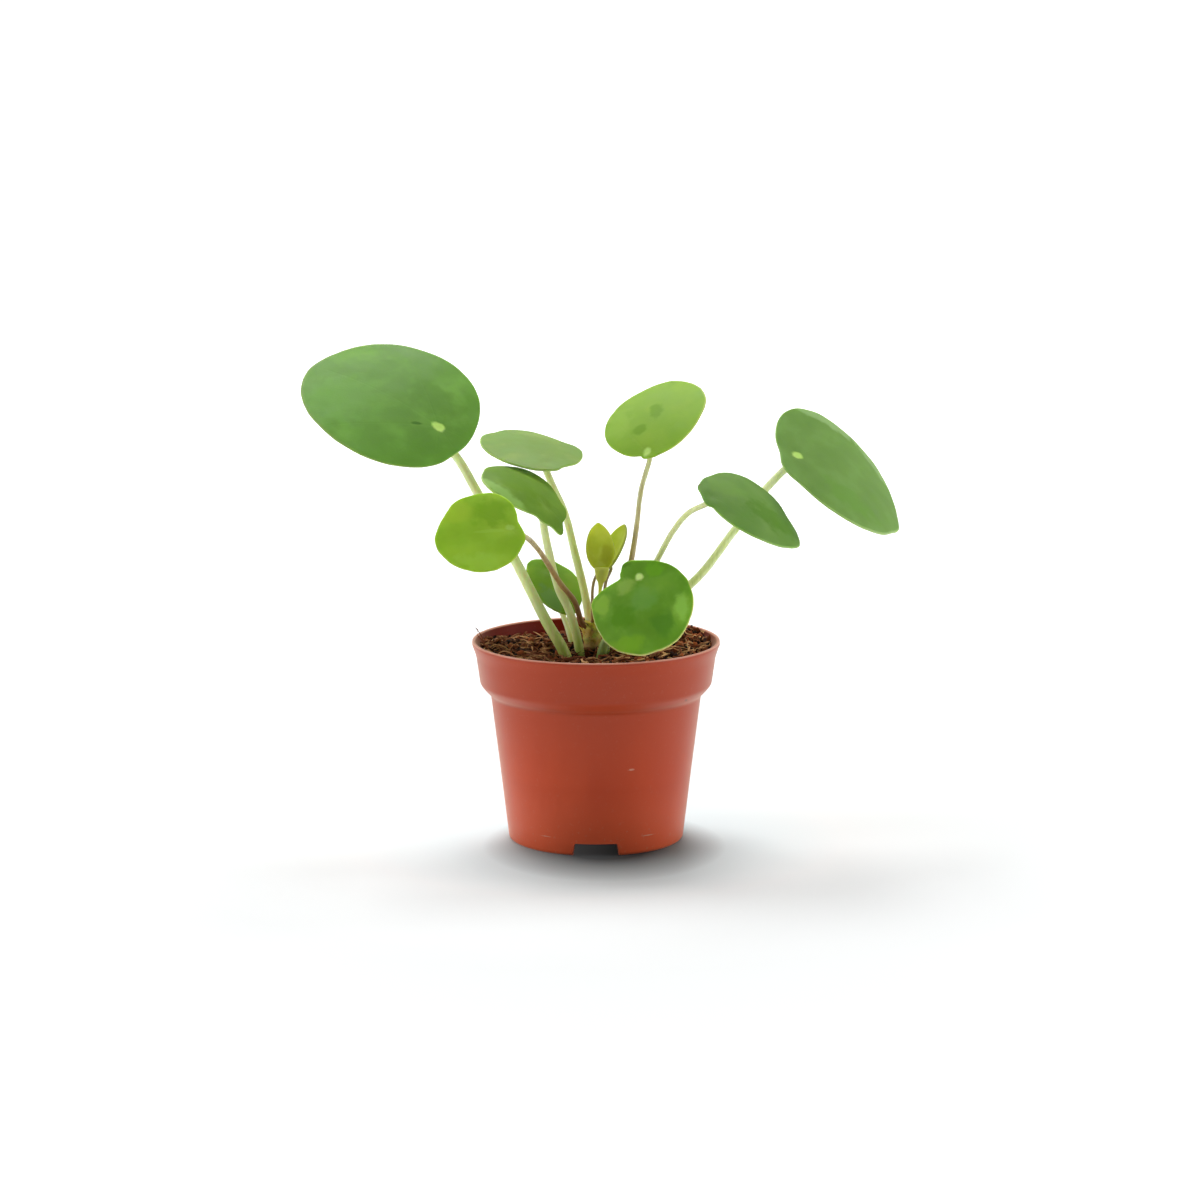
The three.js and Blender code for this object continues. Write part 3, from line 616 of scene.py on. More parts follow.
finer = add(crumb_tree, "ShaderNodeMath", [1.0, given["Roughening Size"]], operation="DIVIDE")
lumpy = add(crumb_tree, "ShaderNodeTexNoise", {"Vector": crumb_place, "Scale": finer, "Detail": 2.0})
pushed = add(crumb_tree, "ShaderNodeVectorMath", [lumpy.outputs["Color"], (0.5, 0.5, 0.5)],
             operation="SUBTRACT")
pushed = add(crumb_tree, "ShaderNodeVectorMath", {0: pushed, "Scale": given["Roughening"]}, operation="SCALE")
crumbs = add(crumb_tree, "GeometryNodeSetPosition", {"Geometry": crumbs, "Offset": pushed})
end_tree(crumb_tree, given, crumb_result, held_in_pot(crumb_tree, given, crumbs))

# Fibres: straight hairs are strewn, bent by a slow wave of noise, held inside the pot, then
# given a thin round body that tapers to both ends
fibre_tree, given, fibre_result = new_tree("coir_felt", {
    "Density": "Float", "Shortest": "Float", "Longest": "Float", "Thinnest": "Float", "Thickest": "Float",
    "Bend": "Float", "Bend Size": "Float", "Lift": "Float", "Wall Radius": "Float", "Seed": "Int",
    "Material": "Material"})
hair = add(fibre_tree, "GeometryNodeCurvePrimitiveLine", {"Start": (-0.5, 0, 0), "End": (0.5, 0, 0)})
hair = add(fibre_tree, "GeometryNodeResampleCurve", {"Curve": hair, "Count": 9})
fibre_length = add(fibre_tree, "FunctionNodeRandomValue", {
    "Min": given["Shortest"], "Max": given["Longest"], "Seed": 21}, data_type="FLOAT")
stretch = add(fibre_tree, "ShaderNodeCombineXYZ", {"X": fibre_length, "Y": 1.0, "Z": 1.0})
hairs = strewn(fibre_tree, given, hair, FIBRE_TURNS, stretch, 6)
girth = add(fibre_tree, "FunctionNodeRandomValue", {
    "Min": given["Thinnest"], "Max": given["Thickest"], "Seed": 31}, data_type="FLOAT")
hairs = add(fibre_tree, "GeometryNodeStoreNamedAttribute", {
    "Geometry": hairs, "Name": "girth", "Value": girth}, data_type="FLOAT", domain="INSTANCE")
hairs = add(fibre_tree, "GeometryNodeRealizeInstances", {"Geometry": hairs})
fibre_place = add(fibre_tree, "GeometryNodeInputPosition")
slower = add(fibre_tree, "ShaderNodeMath", [1.0, given["Bend Size"]], operation="DIVIDE")
wave = add(fibre_tree, "ShaderNodeTexNoise", {"Vector": fibre_place, "Scale": slower, "Detail": 1.5})
wave = add(fibre_tree, "ShaderNodeVectorMath", [wave.outputs["Color"], (0.5, 0.5, 0.42)],
           operation="SUBTRACT")
wave = add(fibre_tree, "ShaderNodeVectorMath", [wave, (1, 1, 0.55)], operation="MULTIPLY")
wave = add(fibre_tree, "ShaderNodeVectorMath", {0: wave, "Scale": given["Bend"]}, operation="SCALE")
lift = add(fibre_tree, "ShaderNodeCombineXYZ", {"X": 0.0, "Y": 0.0, "Z": given["Lift"]})
moved = add(fibre_tree, "ShaderNodeVectorMath", [wave, lift], operation="ADD")
hairs = add(fibre_tree, "GeometryNodeSetPosition", {"Geometry": hairs, "Offset": moved})
hairs = held_in_pot(fibre_tree, given, hairs)
along = add(fibre_tree, "GeometryNodeSplineParameter").outputs["Factor"]
from_middle = add(fibre_tree, "ShaderNodeMath", [along, 0.5], operation="SUBTRACT")
squared = add(fibre_tree, "ShaderNodeMath", [from_middle, from_middle], operation="MULTIPLY")
taper = add(fibre_tree, "ShaderNodeMath", [squared, -FIBRE_TAPER, 1.0], operation="MULTIPLY_ADD")
own_girth = add(fibre_tree, "GeometryNodeInputNamedAttribute", {"Name": "girth"}, data_type="FLOAT")
own_girth = add(fibre_tree, "ShaderNodeMath", [taper, own_girth], operation="MULTIPLY")
section = add(fibre_tree, "GeometryNodeCurvePrimitiveCircle", {"Resolution": 4, "Radius": 1.0})
fibres = add(fibre_tree, "GeometryNodeCurveToMesh", {"Curve": hairs, "Profile Curve": section,
                                                     "Scale": own_girth, "Fill Caps": True})
end_tree(fibre_tree, given, fibre_result, fibres)

# A strand: a guide line gets a round body, thinning by the square root of the way along, with a
# swelling at its end and the slight unevenness of a thing that grew
strand_tree, given, strand_result = new_tree("grown_strand", {
    "Foot Thickness": "Float", "Top Thickness": "Float", "Swelling": "Float", "Unevenness": "Float",
    "Tone": "Float", "Steps": "Int", "Sides": "Int", "Material": "Material"})
line = add(strand_tree, "GeometryNodeResampleCurve", {"Curve": given["Geometry"], "Count": given["Steps"]})
way = add(strand_tree, "GeometryNodeSplineParameter").outputs["Factor"]
way_root = add(strand_tree, "ShaderNodeMath", [way], operation="SQRT")
thickness = add(strand_tree, "ShaderNodeMapRange", {"Value": way_root, "To Min": given["Foot Thickness"],
                                                    "To Max": given["Top Thickness"]})
near_top = add(strand_tree, "ShaderNodeMapRange", {"Value": way, "From Min": SWELLING_FROM, "From Max": 1.0},
               interpolation_type="SMOOTHERSTEP")
swollen = add(strand_tree, "ShaderNodeMath", [near_top, given["Swelling"], 1.0],
              operation="MULTIPLY_ADD")
thickness = add(strand_tree, "ShaderNodeMath", [thickness, swollen], operation="MULTIPLY")
half = add(strand_tree, "ShaderNodeMath", [thickness, 0.5], operation="MULTIPLY")
for name, value in (("way_up", way), ("tone", given["Tone"])):
    line = add(strand_tree, "GeometryNodeStoreNamedAttribute", {
        "Geometry": line, "Name": name, "Value": value}, data_type="FLOAT", domain="POINT")
section = add(strand_tree, "GeometryNodeCurvePrimitiveCircle", {"Resolution": given["Sides"], "Radius": 1.0})
strand = add(strand_tree, "GeometryNodeCurveToMesh", {"Curve": line, "Profile Curve": section,
                                                      "Scale": half, "Fill Caps": True})
strand_place = add(strand_tree, "GeometryNodeInputPosition")
ripples = add(strand_tree, "ShaderNodeTexNoise", {"Vector": strand_place, "Scale": 1 / RIPPLE, "Detail": 2.0})
rise = add(strand_tree, "ShaderNodeMath", [ripples, 0.5], operation="SUBTRACT")
rise = add(strand_tree, "ShaderNodeMath", [rise, given["Unevenness"]], operation="MULTIPLY")
outwards = add(strand_tree, "GeometryNodeInputNormal")
pushed = add(strand_tree, "ShaderNodeVectorMath", {0: outwards, "Scale": rise}, operation="SCALE")
strand = add(strand_tree, "GeometryNodeSetPosition", {"Geometry": strand, "Offset": pushed})
end_tree(strand_tree, given, strand_result, strand)


def bent_through(places, steps):
    """A smooth path through the places, by a centripetal Catmull-Rom spline."""
    points = [2 * places[0] - places[1], *places, 2 * places[-1] - places[-2]]
    path = []
    for before, start, end, after in zip(points, points[1:], points[2:], points[3:]):
        pairs = ((before, start), (start, end), (end, after))
        back, ahead, on = [math.sqrt((b - a).length) for a, b in pairs]
        leave = (start - before) / back - (end - before) / (back + ahead) + (end - start) / ahead
        arrive = (end - start) / ahead - (after - start) / (ahead + on) + (after - end) / on
        leave *= ahead
        arrive *= ahead
        for step in range(steps):
            t = step / steps
            path.append(start * (2 * t ** 3 - 3 * t ** 2 + 1) + leave * (t ** 3 - 2 * t ** 2 + t)
                        + end * (3 * t ** 2 - 2 * t ** 3) + arrive * (t ** 3 - t ** 2))
    return [*path, places[-1]]


def guide_line(name, places, steps):
    """A smooth line through the places, as a curve for the strand tree."""
    path = bent_through(places, steps)
    guide = bpy.data.curves.new("guide_" + name, "CURVE")
    guide.dimensions = "3D"
    line = guide.splines.new("POLY")
    line.points.add(len(path) - 1)
    for point, place in zip(line.points, path):
        point.co = (*(place * mm), 1)
    return guide


# Moist peat: near black where it is packed, red-brown where it has dried on the right
PEAT_DARK = "1A0C05"
PEAT_BROWN = "5E2E12"
PEAT_DRY = "A8592C"
COIR_DARK = "723714"
COIR_PALE = "E6B27A"
CLOD = 2.2 * mm
STREAK = 0.5 * mm
# Painted shade in the hollow under the petioles: its middle, within what distance the crumbs are drawn
# darkest, and beyond what distance not at all
HOLLOW_SHADE_PLACE = (-1.5 * mm, -9 * mm, 45.5 * mm)
HOLLOW_SHADE_WITHIN = 4 * mm
HOLLOW_SHADE_BEYOND = 9 * mm
# The soil dries from left to right, between these two places along X
DRIER_FROM = -4 * mm
DRIEST_AT = 14 * mm
peat, peat_tree = new_material("moist_peat")
on_soil = add(peat_tree, "ShaderNodeTexCoord").outputs["Object"]
clods = add(peat_tree, "ShaderNodeTexNoise", {"Vector": on_soil, "Scale": 1 / CLOD, "Detail": 5,
                                              "Roughness": 0.65})
clod_share = add(peat_tree, "ShaderNodeMapRange", {"Value": clods, "From Min": 0.38, "From Max": 0.7})
peat_colour = add(peat_tree, "ShaderNodeMix", {
    "Factor": clod_share, "A": linear(PEAT_DARK), "B": linear(PEAT_BROWN)}, data_type="RGBA")
peat_relief = add(peat_tree, "ShaderNodeBump", {"Strength": 0.8, "Distance": 0.4 * mm, "Height": clods})
peat_skin = add(peat_tree, "ShaderNodeBsdfPrincipled", {
    "Base Color": peat_colour, "Roughness": 0.95, "Specular IOR Level": 0.25, "Normal": peat_relief})
add(peat_tree, "ShaderNodeOutputMaterial", {"Surface": peat_skin})


def loose_matter(name, dark, pale, roughness):
    """A dry fibre or crumb material: each scattered bit has its own tone, drier on the right, with painted
    shade in the hollow under the petioles.
    """
    material, tree = new_material(name)
    own_tone = add(tree, "ShaderNodeAttribute", attribute_name="tone").outputs["Fac"]
    place = add(tree, "ShaderNodeTexCoord").outputs["Object"]
    side = add(tree, "ShaderNodeSeparateXYZ", {"Vector": place}).outputs["X"]
    dryness = add(tree, "ShaderNodeMapRange", {"Value": side, "From Min": DRIER_FROM, "From Max": DRIEST_AT,
                                               "To Min": 0.75, "To Max": 1.45})
    from_hollow_shade = add(tree, "ShaderNodeVectorMath", [place, HOLLOW_SHADE_PLACE], operation="DISTANCE")
    out_of_hollow_shade = add(tree, "ShaderNodeMapRange", {"Value": from_hollow_shade.outputs["Value"], "From Min": HOLLOW_SHADE_WITHIN,
                                               "From Max": HOLLOW_SHADE_BEYOND, "To Min": 0.25})
    share = add(tree, "ShaderNodeMath", [own_tone, 2.2], operation="POWER")
    share = add(tree, "ShaderNodeMath", [share, dryness], operation="MULTIPLY")
    share = add(tree, "ShaderNodeMath", [share, out_of_hollow_shade], operation="MULTIPLY", use_clamp=True)
    colour = add(tree, "ShaderNodeMix", {"Factor": share, "A": linear(dark), "B": linear(pale)},
                 data_type="RGBA")
    streaks = add(tree, "ShaderNodeTexNoise", {"Vector": place, "Scale": 1 / STREAK, "Detail": 3})
    relief = add(tree, "ShaderNodeBump", {"Strength": 0.5, "Distance": 0.1 * mm, "Height": streaks})
    skin = add(tree, "ShaderNodeBsdfPrincipled", {"Base Color": colour, "Roughness": roughness,
                                                  "Specular IOR Level": 0.2, "Normal": relief})
    add(tree, "ShaderNodeOutputMaterial", {"Surface": skin})
    return material


crumb_matter = loose_matter("peat_crumb", PEAT_DARK, PEAT_DRY, 0.95)
fibre_matter = loose_matter("coir_fibre", COIR_DARK, COIR_PALE, 0.8)

plug_mesh, soil_top = soil_meshes()
potting_soil = new_object("potting_soil", plug_mesh, peat)
soil_crumbs = grown("soil_crumbs", soil_top, crumb_tree, {
    "Density": CRUMBS_PER_SQUARE_METRE, "Smallest": SMALLEST_CRUMB, "Largest": LARGEST_CRUMB,
    "Roughening": 0.9 * mm, "Roughening Size": 0.6 * mm, "Wall Radius": INNER_WALL * mm, "Seed": 3,
    "Material": crumb_matter})
coir_fibres = grown("coir_fibres", soil_top, fibre_tree, {
    "Density": FIBRES_PER_SQUARE_METRE, "Shortest": 1.5 * mm, "Longest": 10 * mm, "Thinnest": 0.08 * mm,
    "Thickest": 0.36 * mm, "Bend": 5.5 * mm, "Bend Size": 2.8 * mm, "Lift": 0.4 * mm,
    "Wall Radius": INNER_WALL * mm, "Seed": 8, "Material": fibre_matter})

# Longer strands that lie where they can be seen: one hangs over the lip on the left, some stand up in
# loops. Each has its places, its thickness and its tone.
STRAY_FIBRES = [
    ([(-24.5, -9, 46.6), (-26.6, -7, 48.6), (-27.6, -5, 50.6), (-28.9, -3, 52)], 0.42, 0.15),
    ([(-26, -4, 47), (-27.4, -3.4, 49), (-28.6, -3, 50.4), (-28.4, -2.4, 51.6)], 0.32, 0.3),
    ([(-24, -13, 46.6), (-22, -14, 48.4), (-19.6, -14.6, 47.6), (-18, -15, 46.2)], 0.4, 0.95),
    ([(-17, -13.5, 46), (-15, -14.6, 47.6), (-12.6, -15, 47.2), (-11, -14, 46)], 0.36, 0.8),
    ([(-21, -2, 46.4), (-19, -3, 48.2), (-15.8, -3.2, 48), (-13.6, -2, 46.2)], 0.3, 0.7),
    ([(-3.6, -16, 45.6), (-1.6, -17, 47.4), (1, -17.2, 47), (2.6, -16.4, 45.8)], 0.42, 0.9),
    ([(17, 4, 48.4), (19.4, 3.4, 50.4), (22, 5, 50), (23.6, 7, 48.4)], 0.36, 0.6),
    ([(15, -12, 47.6), (17.6, -13, 49.2), (20.8, -12.6, 49), (23, -11, 47.8)], 0.4, 0.75),
    ([(20.5, -16, 47), (22, -14, 48.8), (22.4, -11, 49), (21.6, -8.6, 47.6)], 0.3, 0.9),
]
STRAY_GUIDE_STEPS = 6
stray_fibres = []
for number, (places, thickness, tone) in enumerate(STRAY_FIBRES):
    line = guide_line("stray_fibre", [Vector(place) for place in places], STRAY_GUIDE_STEPS)
    stray_fibres.append(grown("stray_fibre_%d" % number, line, strand_tree, {
        "Foot Thickness": thickness * mm, "Top Thickness": 0.5 * thickness * mm, "Swelling": 0.0,
        "Unevenness": 0.3 * mm, "Tone": tone, "Steps": 20, "Sides": 6, "Material": fibre_matter}))
for piece in (potting_soil, soil_crumbs, coir_fibres, *stray_fibres):
    smooth(piece.data, 70)
    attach(piece, "root")
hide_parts("soil")


# ------------------------------------------------------------------ stem
# The short stem of the rosette stands in the soil behind the petioles. It is green wood turning to
# bark: fallen leaves have left rings of scars round it, and dry papery scales still clasp it.

STEM_PLACE = (-1, 3)
STEM_BOTTOM = 37
STEM_TOP = 52.3
STEM_RADIUS = 2.2
STEM_TAPER = 0.25
STEM_DOME_STEPS = 4
STEM_DOME_STEP = 0.12
SCAR_EVERY = 2.2
SCAR_SWELLING = 0.16
KNOB_SIZE = 1.1
KNOBS_ROUND = 1.6
KNOB_HEIGHT = 0.22
STEM_SPOKES = 44
STEM_STEP = 0.3
# Each scale: its bearing round the stem in degrees, the height of its root, its length, width and curl
STIPULES = [
    (250, 47, 5.2, 2.6, 0.8), (318, 48.2, 4.6, 2.2, 1.1), (120, 47.5, 4, 2, 0.8), (203, 48, 4, 2, 1.3),
    (284, 49.4, 3.2, 1.8, 0.7), (20, 48, 3.8, 1.8, 1), (232, 50.3, 2.3, 1.4, 0.9), (340, 50.2, 2.4, 1.3, 0.5),
]
SCALE_THICKNESS = 0.14
SCALE_STEPS = 10
SCALE_COLUMNS = 6
SCALE_RIPPLE = 0.12


def stem_body(body):
    """The scarred stem: rings of points that bulge at each scar, closed below and domed above."""
    rows = round((STEM_TOP - STEM_BOTTOM) / STEM_STEP)
    rings = []
    for row in range(rows + STEM_DOME_STEPS):
        along = min(1, row / rows)
        in_dome = max(0, row - rows)
        z = STEM_BOTTOM + along * (STEM_TOP - STEM_BOTTOM) + STEM_DOME_STEP * in_dome
        radius = STEM_RADIUS - STEM_TAPER * along + SCAR_SWELLING * math.cos(2 * math.pi * z / SCAR_EVERY)
        radius *= math.sqrt(max(0.05, 1 - (in_dome / STEM_DOME_STEPS) ** 2))
        ring = []
        for spoke in range(STEM_SPOKES):
            turn = 2 * math.pi * spoke / STEM_SPOKES
            on_skin = (KNOBS_ROUND * math.cos(turn), KNOBS_ROUND * math.sin(turn), z / KNOB_SIZE)
            bulging = radius + KNOB_HEIGHT * noise.noise(on_skin)
            x = STEM_PLACE[0] + bulging * math.cos(turn)
            y = STEM_PLACE[1] + bulging * math.sin(turn)
            ring.append(body.verts.new((x * mm, y * mm, z * mm)))
        rings.append(ring)
    join_rings(body, rings)
    body.faces.new(list(reversed(rings[0])))
    body.faces.new(rings[-1])


def stipule(body, bearing, root, length, width, curl):
    """One thin scale: it springs from the stem, lies against it, and curls out at its narrow tip."""
    out = Vector((math.cos(math.radians(bearing)), math.sin(math.radians(bearing)), 0))
    aside = Vector((-out.y, out.x, 0))
    faces = []
    for face in (1, -1):
        rows = []
        for step in range(SCALE_STEPS + 1):
            along = step / SCALE_STEPS
            half = width / 2 * (1 - along) ** 0.55 * (0.75 + 0.5 * along) + 0.05
            centre = Vector((*STEM_PLACE, root)) + out * (STEM_RADIUS - 0.15 + curl * along ** 2.2)
            centre.z += length * along * (1 - 0.12 * curl * along)
            row = []
            for i in range(SCALE_COLUMNS + 1):
                share = 2 * i / SCALE_COLUMNS - 1
                ripple = SCALE_RIPPLE * noise.noise((along * 4, share * 2, bearing))
                point = centre + aside * half * share - out * (0.35 * half * share ** 2 + ripple * along)
                row.append(body.verts.new((point + out * face * SCALE_THICKNESS / 2) * mm))
            rows.append(row)
        faces.append(rows)
    outer, inner = faces
    for step in range(SCALE_STEPS):
        for i in range(SCALE_COLUMNS):
            body.faces.new((outer[step][i], outer[step][i + 1], outer[step + 1][i + 1], outer[step + 1][i]))
            body.faces.new((inner[step][i + 1], inner[step][i], inner[step + 1][i], inner[step + 1][i + 1]))
        body.faces.new((inner[step][0], outer[step][0], outer[step + 1][0], inner[step + 1][0]))
        body.faces.new((outer[step][-1], inner[step][-1], inner[step + 1][-1], outer[step + 1][-1]))
    for i in range(SCALE_COLUMNS):
        body.faces.new((outer[0][i + 1], outer[0][i], inner[0][i], inner[0][i + 1]))
        body.faces.new((outer[-1][i], outer[-1][i + 1], inner[-1][i + 1], inner[-1][i]))


# Young bark: tan where it has dried, olive where it is still green, with dark pores and scars, and
# darker low down
BARK_TAN = "E2B458"
BARK_OLIVE = "D8D854"
BARK_DARK = "5A371C"
BARK_PATCH = 2.4 * mm
BARK_PORE = 0.7 * mm
DARKENS_FROM = 49 * mm
DARKEST_BELOW = 46 * mm
bark, bark_tree = new_material("young_bark")
on_bark = add(bark_tree, "ShaderNodeTexCoord").outputs["Object"]
drying = add(bark_tree, "ShaderNodeTexNoise", {"Vector": on_bark, "Scale": 1 / BARK_PATCH, "Detail": 3})
green_share = add(bark_tree, "ShaderNodeMapRange", {"Value": drying, "From Min": 0.42, "From Max": 0.6})
pores = add(bark_tree, "ShaderNodeTexVoronoi", {"Vector": on_bark, "Scale": 1 / BARK_PORE})
pore_share = add(bark_tree, "ShaderNodeMapRange", {"Value": pores, "From Min": 0.26, "From Max": 0.1,
                                                   "To Max": 0.7})
bark_height = add(bark_tree, "ShaderNodeSeparateXYZ", {"Vector": on_bark}).outputs["Z"]
dark_share = add(bark_tree, "ShaderNodeMapRange", {"Value": bark_height, "From Min": DARKENS_FROM,
                                                   "From Max": DARKEST_BELOW, "To Max": 0.8})
dark_share = add(bark_tree, "ShaderNodeMath", [dark_share, pore_share], operation="MAXIMUM")
bark_colour = linear(BARK_TAN)
for share, colour in ((green_share, BARK_OLIVE), (dark_share, BARK_DARK)):
    bark_colour = add(bark_tree, "ShaderNodeMix", {"Factor": share, "A": bark_colour, "B": linear(colour)},
                      data_type="RGBA")
bark_relief = add(bark_tree, "ShaderNodeBump", {"Strength": 0.7, "Distance": 0.2 * mm, "Height": pores})
bark_skin = add(bark_tree, "ShaderNodeBsdfPrincipled", {
    "Base Color": bark_colour, "Roughness": 0.65, "Subsurface Weight": 0.6,
    "Subsurface Radius": (1.2, 1, 0.4), "Subsurface Scale": 1 * mm, "Normal": bark_relief})
add(bark_tree, "ShaderNodeOutputMaterial", {"Surface": bark_skin})

stem_maker = bmesh.new()
stem_body(stem_maker)
for scale in STIPULES:
    stipule(stem_maker, *scale)
scarred_stem = new_object("scarred_stem", made_mesh("stem_with_stipules", stem_maker), bark)
smooth(scarred_stem.data, 60)
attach(scarred_stem, "root")
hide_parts("stem")


# ------------------------------------------------------------------ petioles
# Each leaf stands on a smooth round stalk of its own. The old ones rise from the soil, the young ones
# from the stem. A stalk is stout at the foot, thins upwards, and bends to meet its blade square from
# below, some way in from the edge.

# Where each blade joins its stalk, and how the blade is held: the bearing of its midrib, how far that
# dips below level, and how far the blade is rolled about it, in degrees
POSTURES = {
    "far_left": ((-38, 8, 99), 164, -34, -31),
    "back_left": ((-12, 12, 90), 114, -20, 3),
    "arched": ((-12, -3, 81.5), 151, -46, -1),
    "front_left": ((-20, -26, 80), 185, 4, -45),
    "small_low": ((-12.5, 15, 63), -52, 35, 14),
    "top": ((12.5, 8, 93), 81, -45, -18),
    "middle_right": ((27, -24, 87), 21, 7, 32),
    "front": ((10.5, -19, 67), -87, 54, 17),
    "far_right": ((48, -2, 93.5), 20, 16, 34),
    "young_left": ((1.3, 0.4, 67), 106, -67, -10),
    "young_right": ((2.7, 4.4, 66.1), 29, -53, 0),
}

# Each stalk's way from soil or stem to its blade, its thickness at foot and top, and its finish
STALKS = {
    "far_left": ([(-7.2, -8.5, 46), (-12, -7, 54.6), (-19.4, -3, 68.5), (-27.9, 3, 82.8), (-33.7, 8, 91.9)],
                 (3, 2.1), "pale"),
    "back_left": ([(-1.6, 4.2, 52.8), (-2.9, 5.5, 59.7), (-5.3, 7, 69.3), (-7.5, 9, 77.8), (-11, 11, 85.5)],
                  (2.2, 1.7), "light"),
    "arched": ([(-3.9, -2, 46), (-6.3, -2, 55.7), (-9, -2.2, 61.6), (-11.4, -2.5, 70.9), (-12.6, -3, 77.5)],
               (2.5, 1.8), "pale"),
    "front_left": ([(-3.3, 1, 52.4), (-5.1, -1.5, 58), (-8.6, -6, 63.5), (-13.7, -15, 73.2),
                    (-16.8, -21, 77.3)], (1.5, 1.2), "red"),
    "small_low": ([(-5.8, 6, 46), (-7.6, 9.5, 51.5), (-10, 14.5, 56)], (1.6, 1.2), "pale"),
    "top": ([(4.4, 4, 46.5), (6.1, 4.4, 56), (8.3, 5, 65.9), (9.7, 5.8, 74.4), (10.9, 7, 84)],
            (1.7, 1.2), "tan"),
    "middle_right": ([(4.3, -1, 46.8), (9.5, -5, 59), (14.9, -10, 70.4), (18.3, -15.5, 77.7),
                      (21.8, -19.5, 82.6)], (1.7, 1.3), "muted"),
    "front": ([(2.4, -3.6, 46.4), (3.6, -5.2, 54), (6.5, -10, 62)], (2.1, 1.3), "green"),
    "far_right": ([(1.2, -8, 45.6), (3.6, -7.9, 51.4), (22.5, -5.5, 62.9), (32.8, -4, 75.5), (40.4, -3, 85.5),
                   (45, -2.5, 90.3)], (2.5, 1.8), "green"),
    "young_left": ([(-0.8, 1.5, 52.8), (-0.9, 1.4, 57), (-0.6, 1.8, 62)], (0.9, 0.7), "dark"),
    "young_right": ([(1, 2.9, 52.8), (1.8, 3.3, 58), (2.5, 3.8, 62.3)], (0.9, 0.7), "dark"),
}
ON_STEM = ("back_left", "front_left", "young_left", "young_right")
# How a stalk comes to its blade: square to it over this length, and sunk into it by so much
APPROACH = 1.4
APPROACH_FAR_LEFT = 2.6
SINK_INTO_BLADE = 0.15
# How a stalk starts: so deep in the soil and drawn in towards the axis, or inside the stem, lower down
FOOT_DEPTH = 6
FOOT_DRAWN_IN = 0.9
STEM_ENTRY_DROP = 2.2
STEM_ENTRY_SHARE = 0.7
GUIDE_STEPS = 14


def blade_directions(bearing, dip, roll):
    """Unit vectors along the midrib, to the blade's left, and out of its face."""
    h, d, r = math.radians(bearing), math.radians(dip), math.radians(roll)
    midrib = Vector((math.cos(h) * math.cos(d), math.sin(h) * math.cos(d), -math.sin(d)))
    level = Vector((-math.sin(h), math.cos(h), 0))
    left = level * math.cos(r) + midrib.cross(level) * math.sin(r)
    return midrib, left, midrib.cross(left)


def stalk_guide(name):
    """The middle line of a stalk as a curve, from its foot in the soil or stem to its blade."""
    hub, *posture = POSTURES[name]
    face = blade_directions(*posture)[2]
    places = [Vector(place) for place in STALKS[name][0]]
    x, y, z = places[0]
    if name in ON_STEM:
        into_stem = Vector((*STEM_PLACE, z - STEM_ENTRY_DROP))
        places.insert(0, places[0].lerp(into_stem, STEM_ENTRY_SHARE))
    else:
        places.insert(0, Vector((x * FOOT_DRAWN_IN, y * FOOT_DRAWN_IN, z - FOOT_DEPTH)))
    approach = APPROACH_FAR_LEFT if name == "far_left" else APPROACH
    places += [Vector(hub) - face * approach, Vector(hub) - face * SINK_INTO_BLADE]
    return guide_line(name, places, GUIDE_STEPS)


FLECK = 0.7 * mm


def stalk_skin(name, foot, middle, top, blush):
    """The waxy skin of a stalk: its colour changes on the way up, with lengthwise flecks and a blush."""
    material, tree = new_material(name)
    place = add(tree, "ShaderNodeTexCoord").outputs["Object"]
    way_up = add(tree, "ShaderNodeAttribute", attribute_name="way_up").outputs["Fac"]
    low = add(tree, "ShaderNodeMapRange", {"Value": way_up, "From Min": 0.08, "From Max": 0.38})
    high = add(tree, "ShaderNodeMapRange", {"Value": way_up, "From Min": 0.45, "From Max": 0.95})
    drawn_up = add(tree, "ShaderNodeMapping", {"Vector": place, "Scale": (1, 1, 0.16)})
    flecks = add(tree, "ShaderNodeTexNoise", {"Vector": drawn_up, "Scale": 1 / FLECK, "Detail": 4})
    fleck_share = add(tree, "ShaderNodeMapRange", {"Value": flecks, "From Min": 0.45, "From Max": 0.75,
                                                   "To Max": 0.7})
    colour = linear(foot)
    for share, tint in ((low, middle), (high, top), (fleck_share, blush)):
        colour = add(tree, "ShaderNodeMix", {"Factor": share, "A": colour, "B": linear(tint)},
                     data_type="RGBA")
    relief = add(tree, "ShaderNodeBump", {"Strength": 0.25, "Distance": 0.06 * mm, "Height": flecks})
    skin = add(tree, "ShaderNodeBsdfPrincipled", {
        "Base Color": colour, "Roughness": 0.42, "IOR": 1.45, "Subsurface Weight": 1.0,
        "Subsurface Radius": (1.1, 1.1, 0.6), "Subsurface Scale": 2.5 * mm, "Normal": relief})
    add(tree, "ShaderNodeOutputMaterial", {"Surface": skin})
    return material


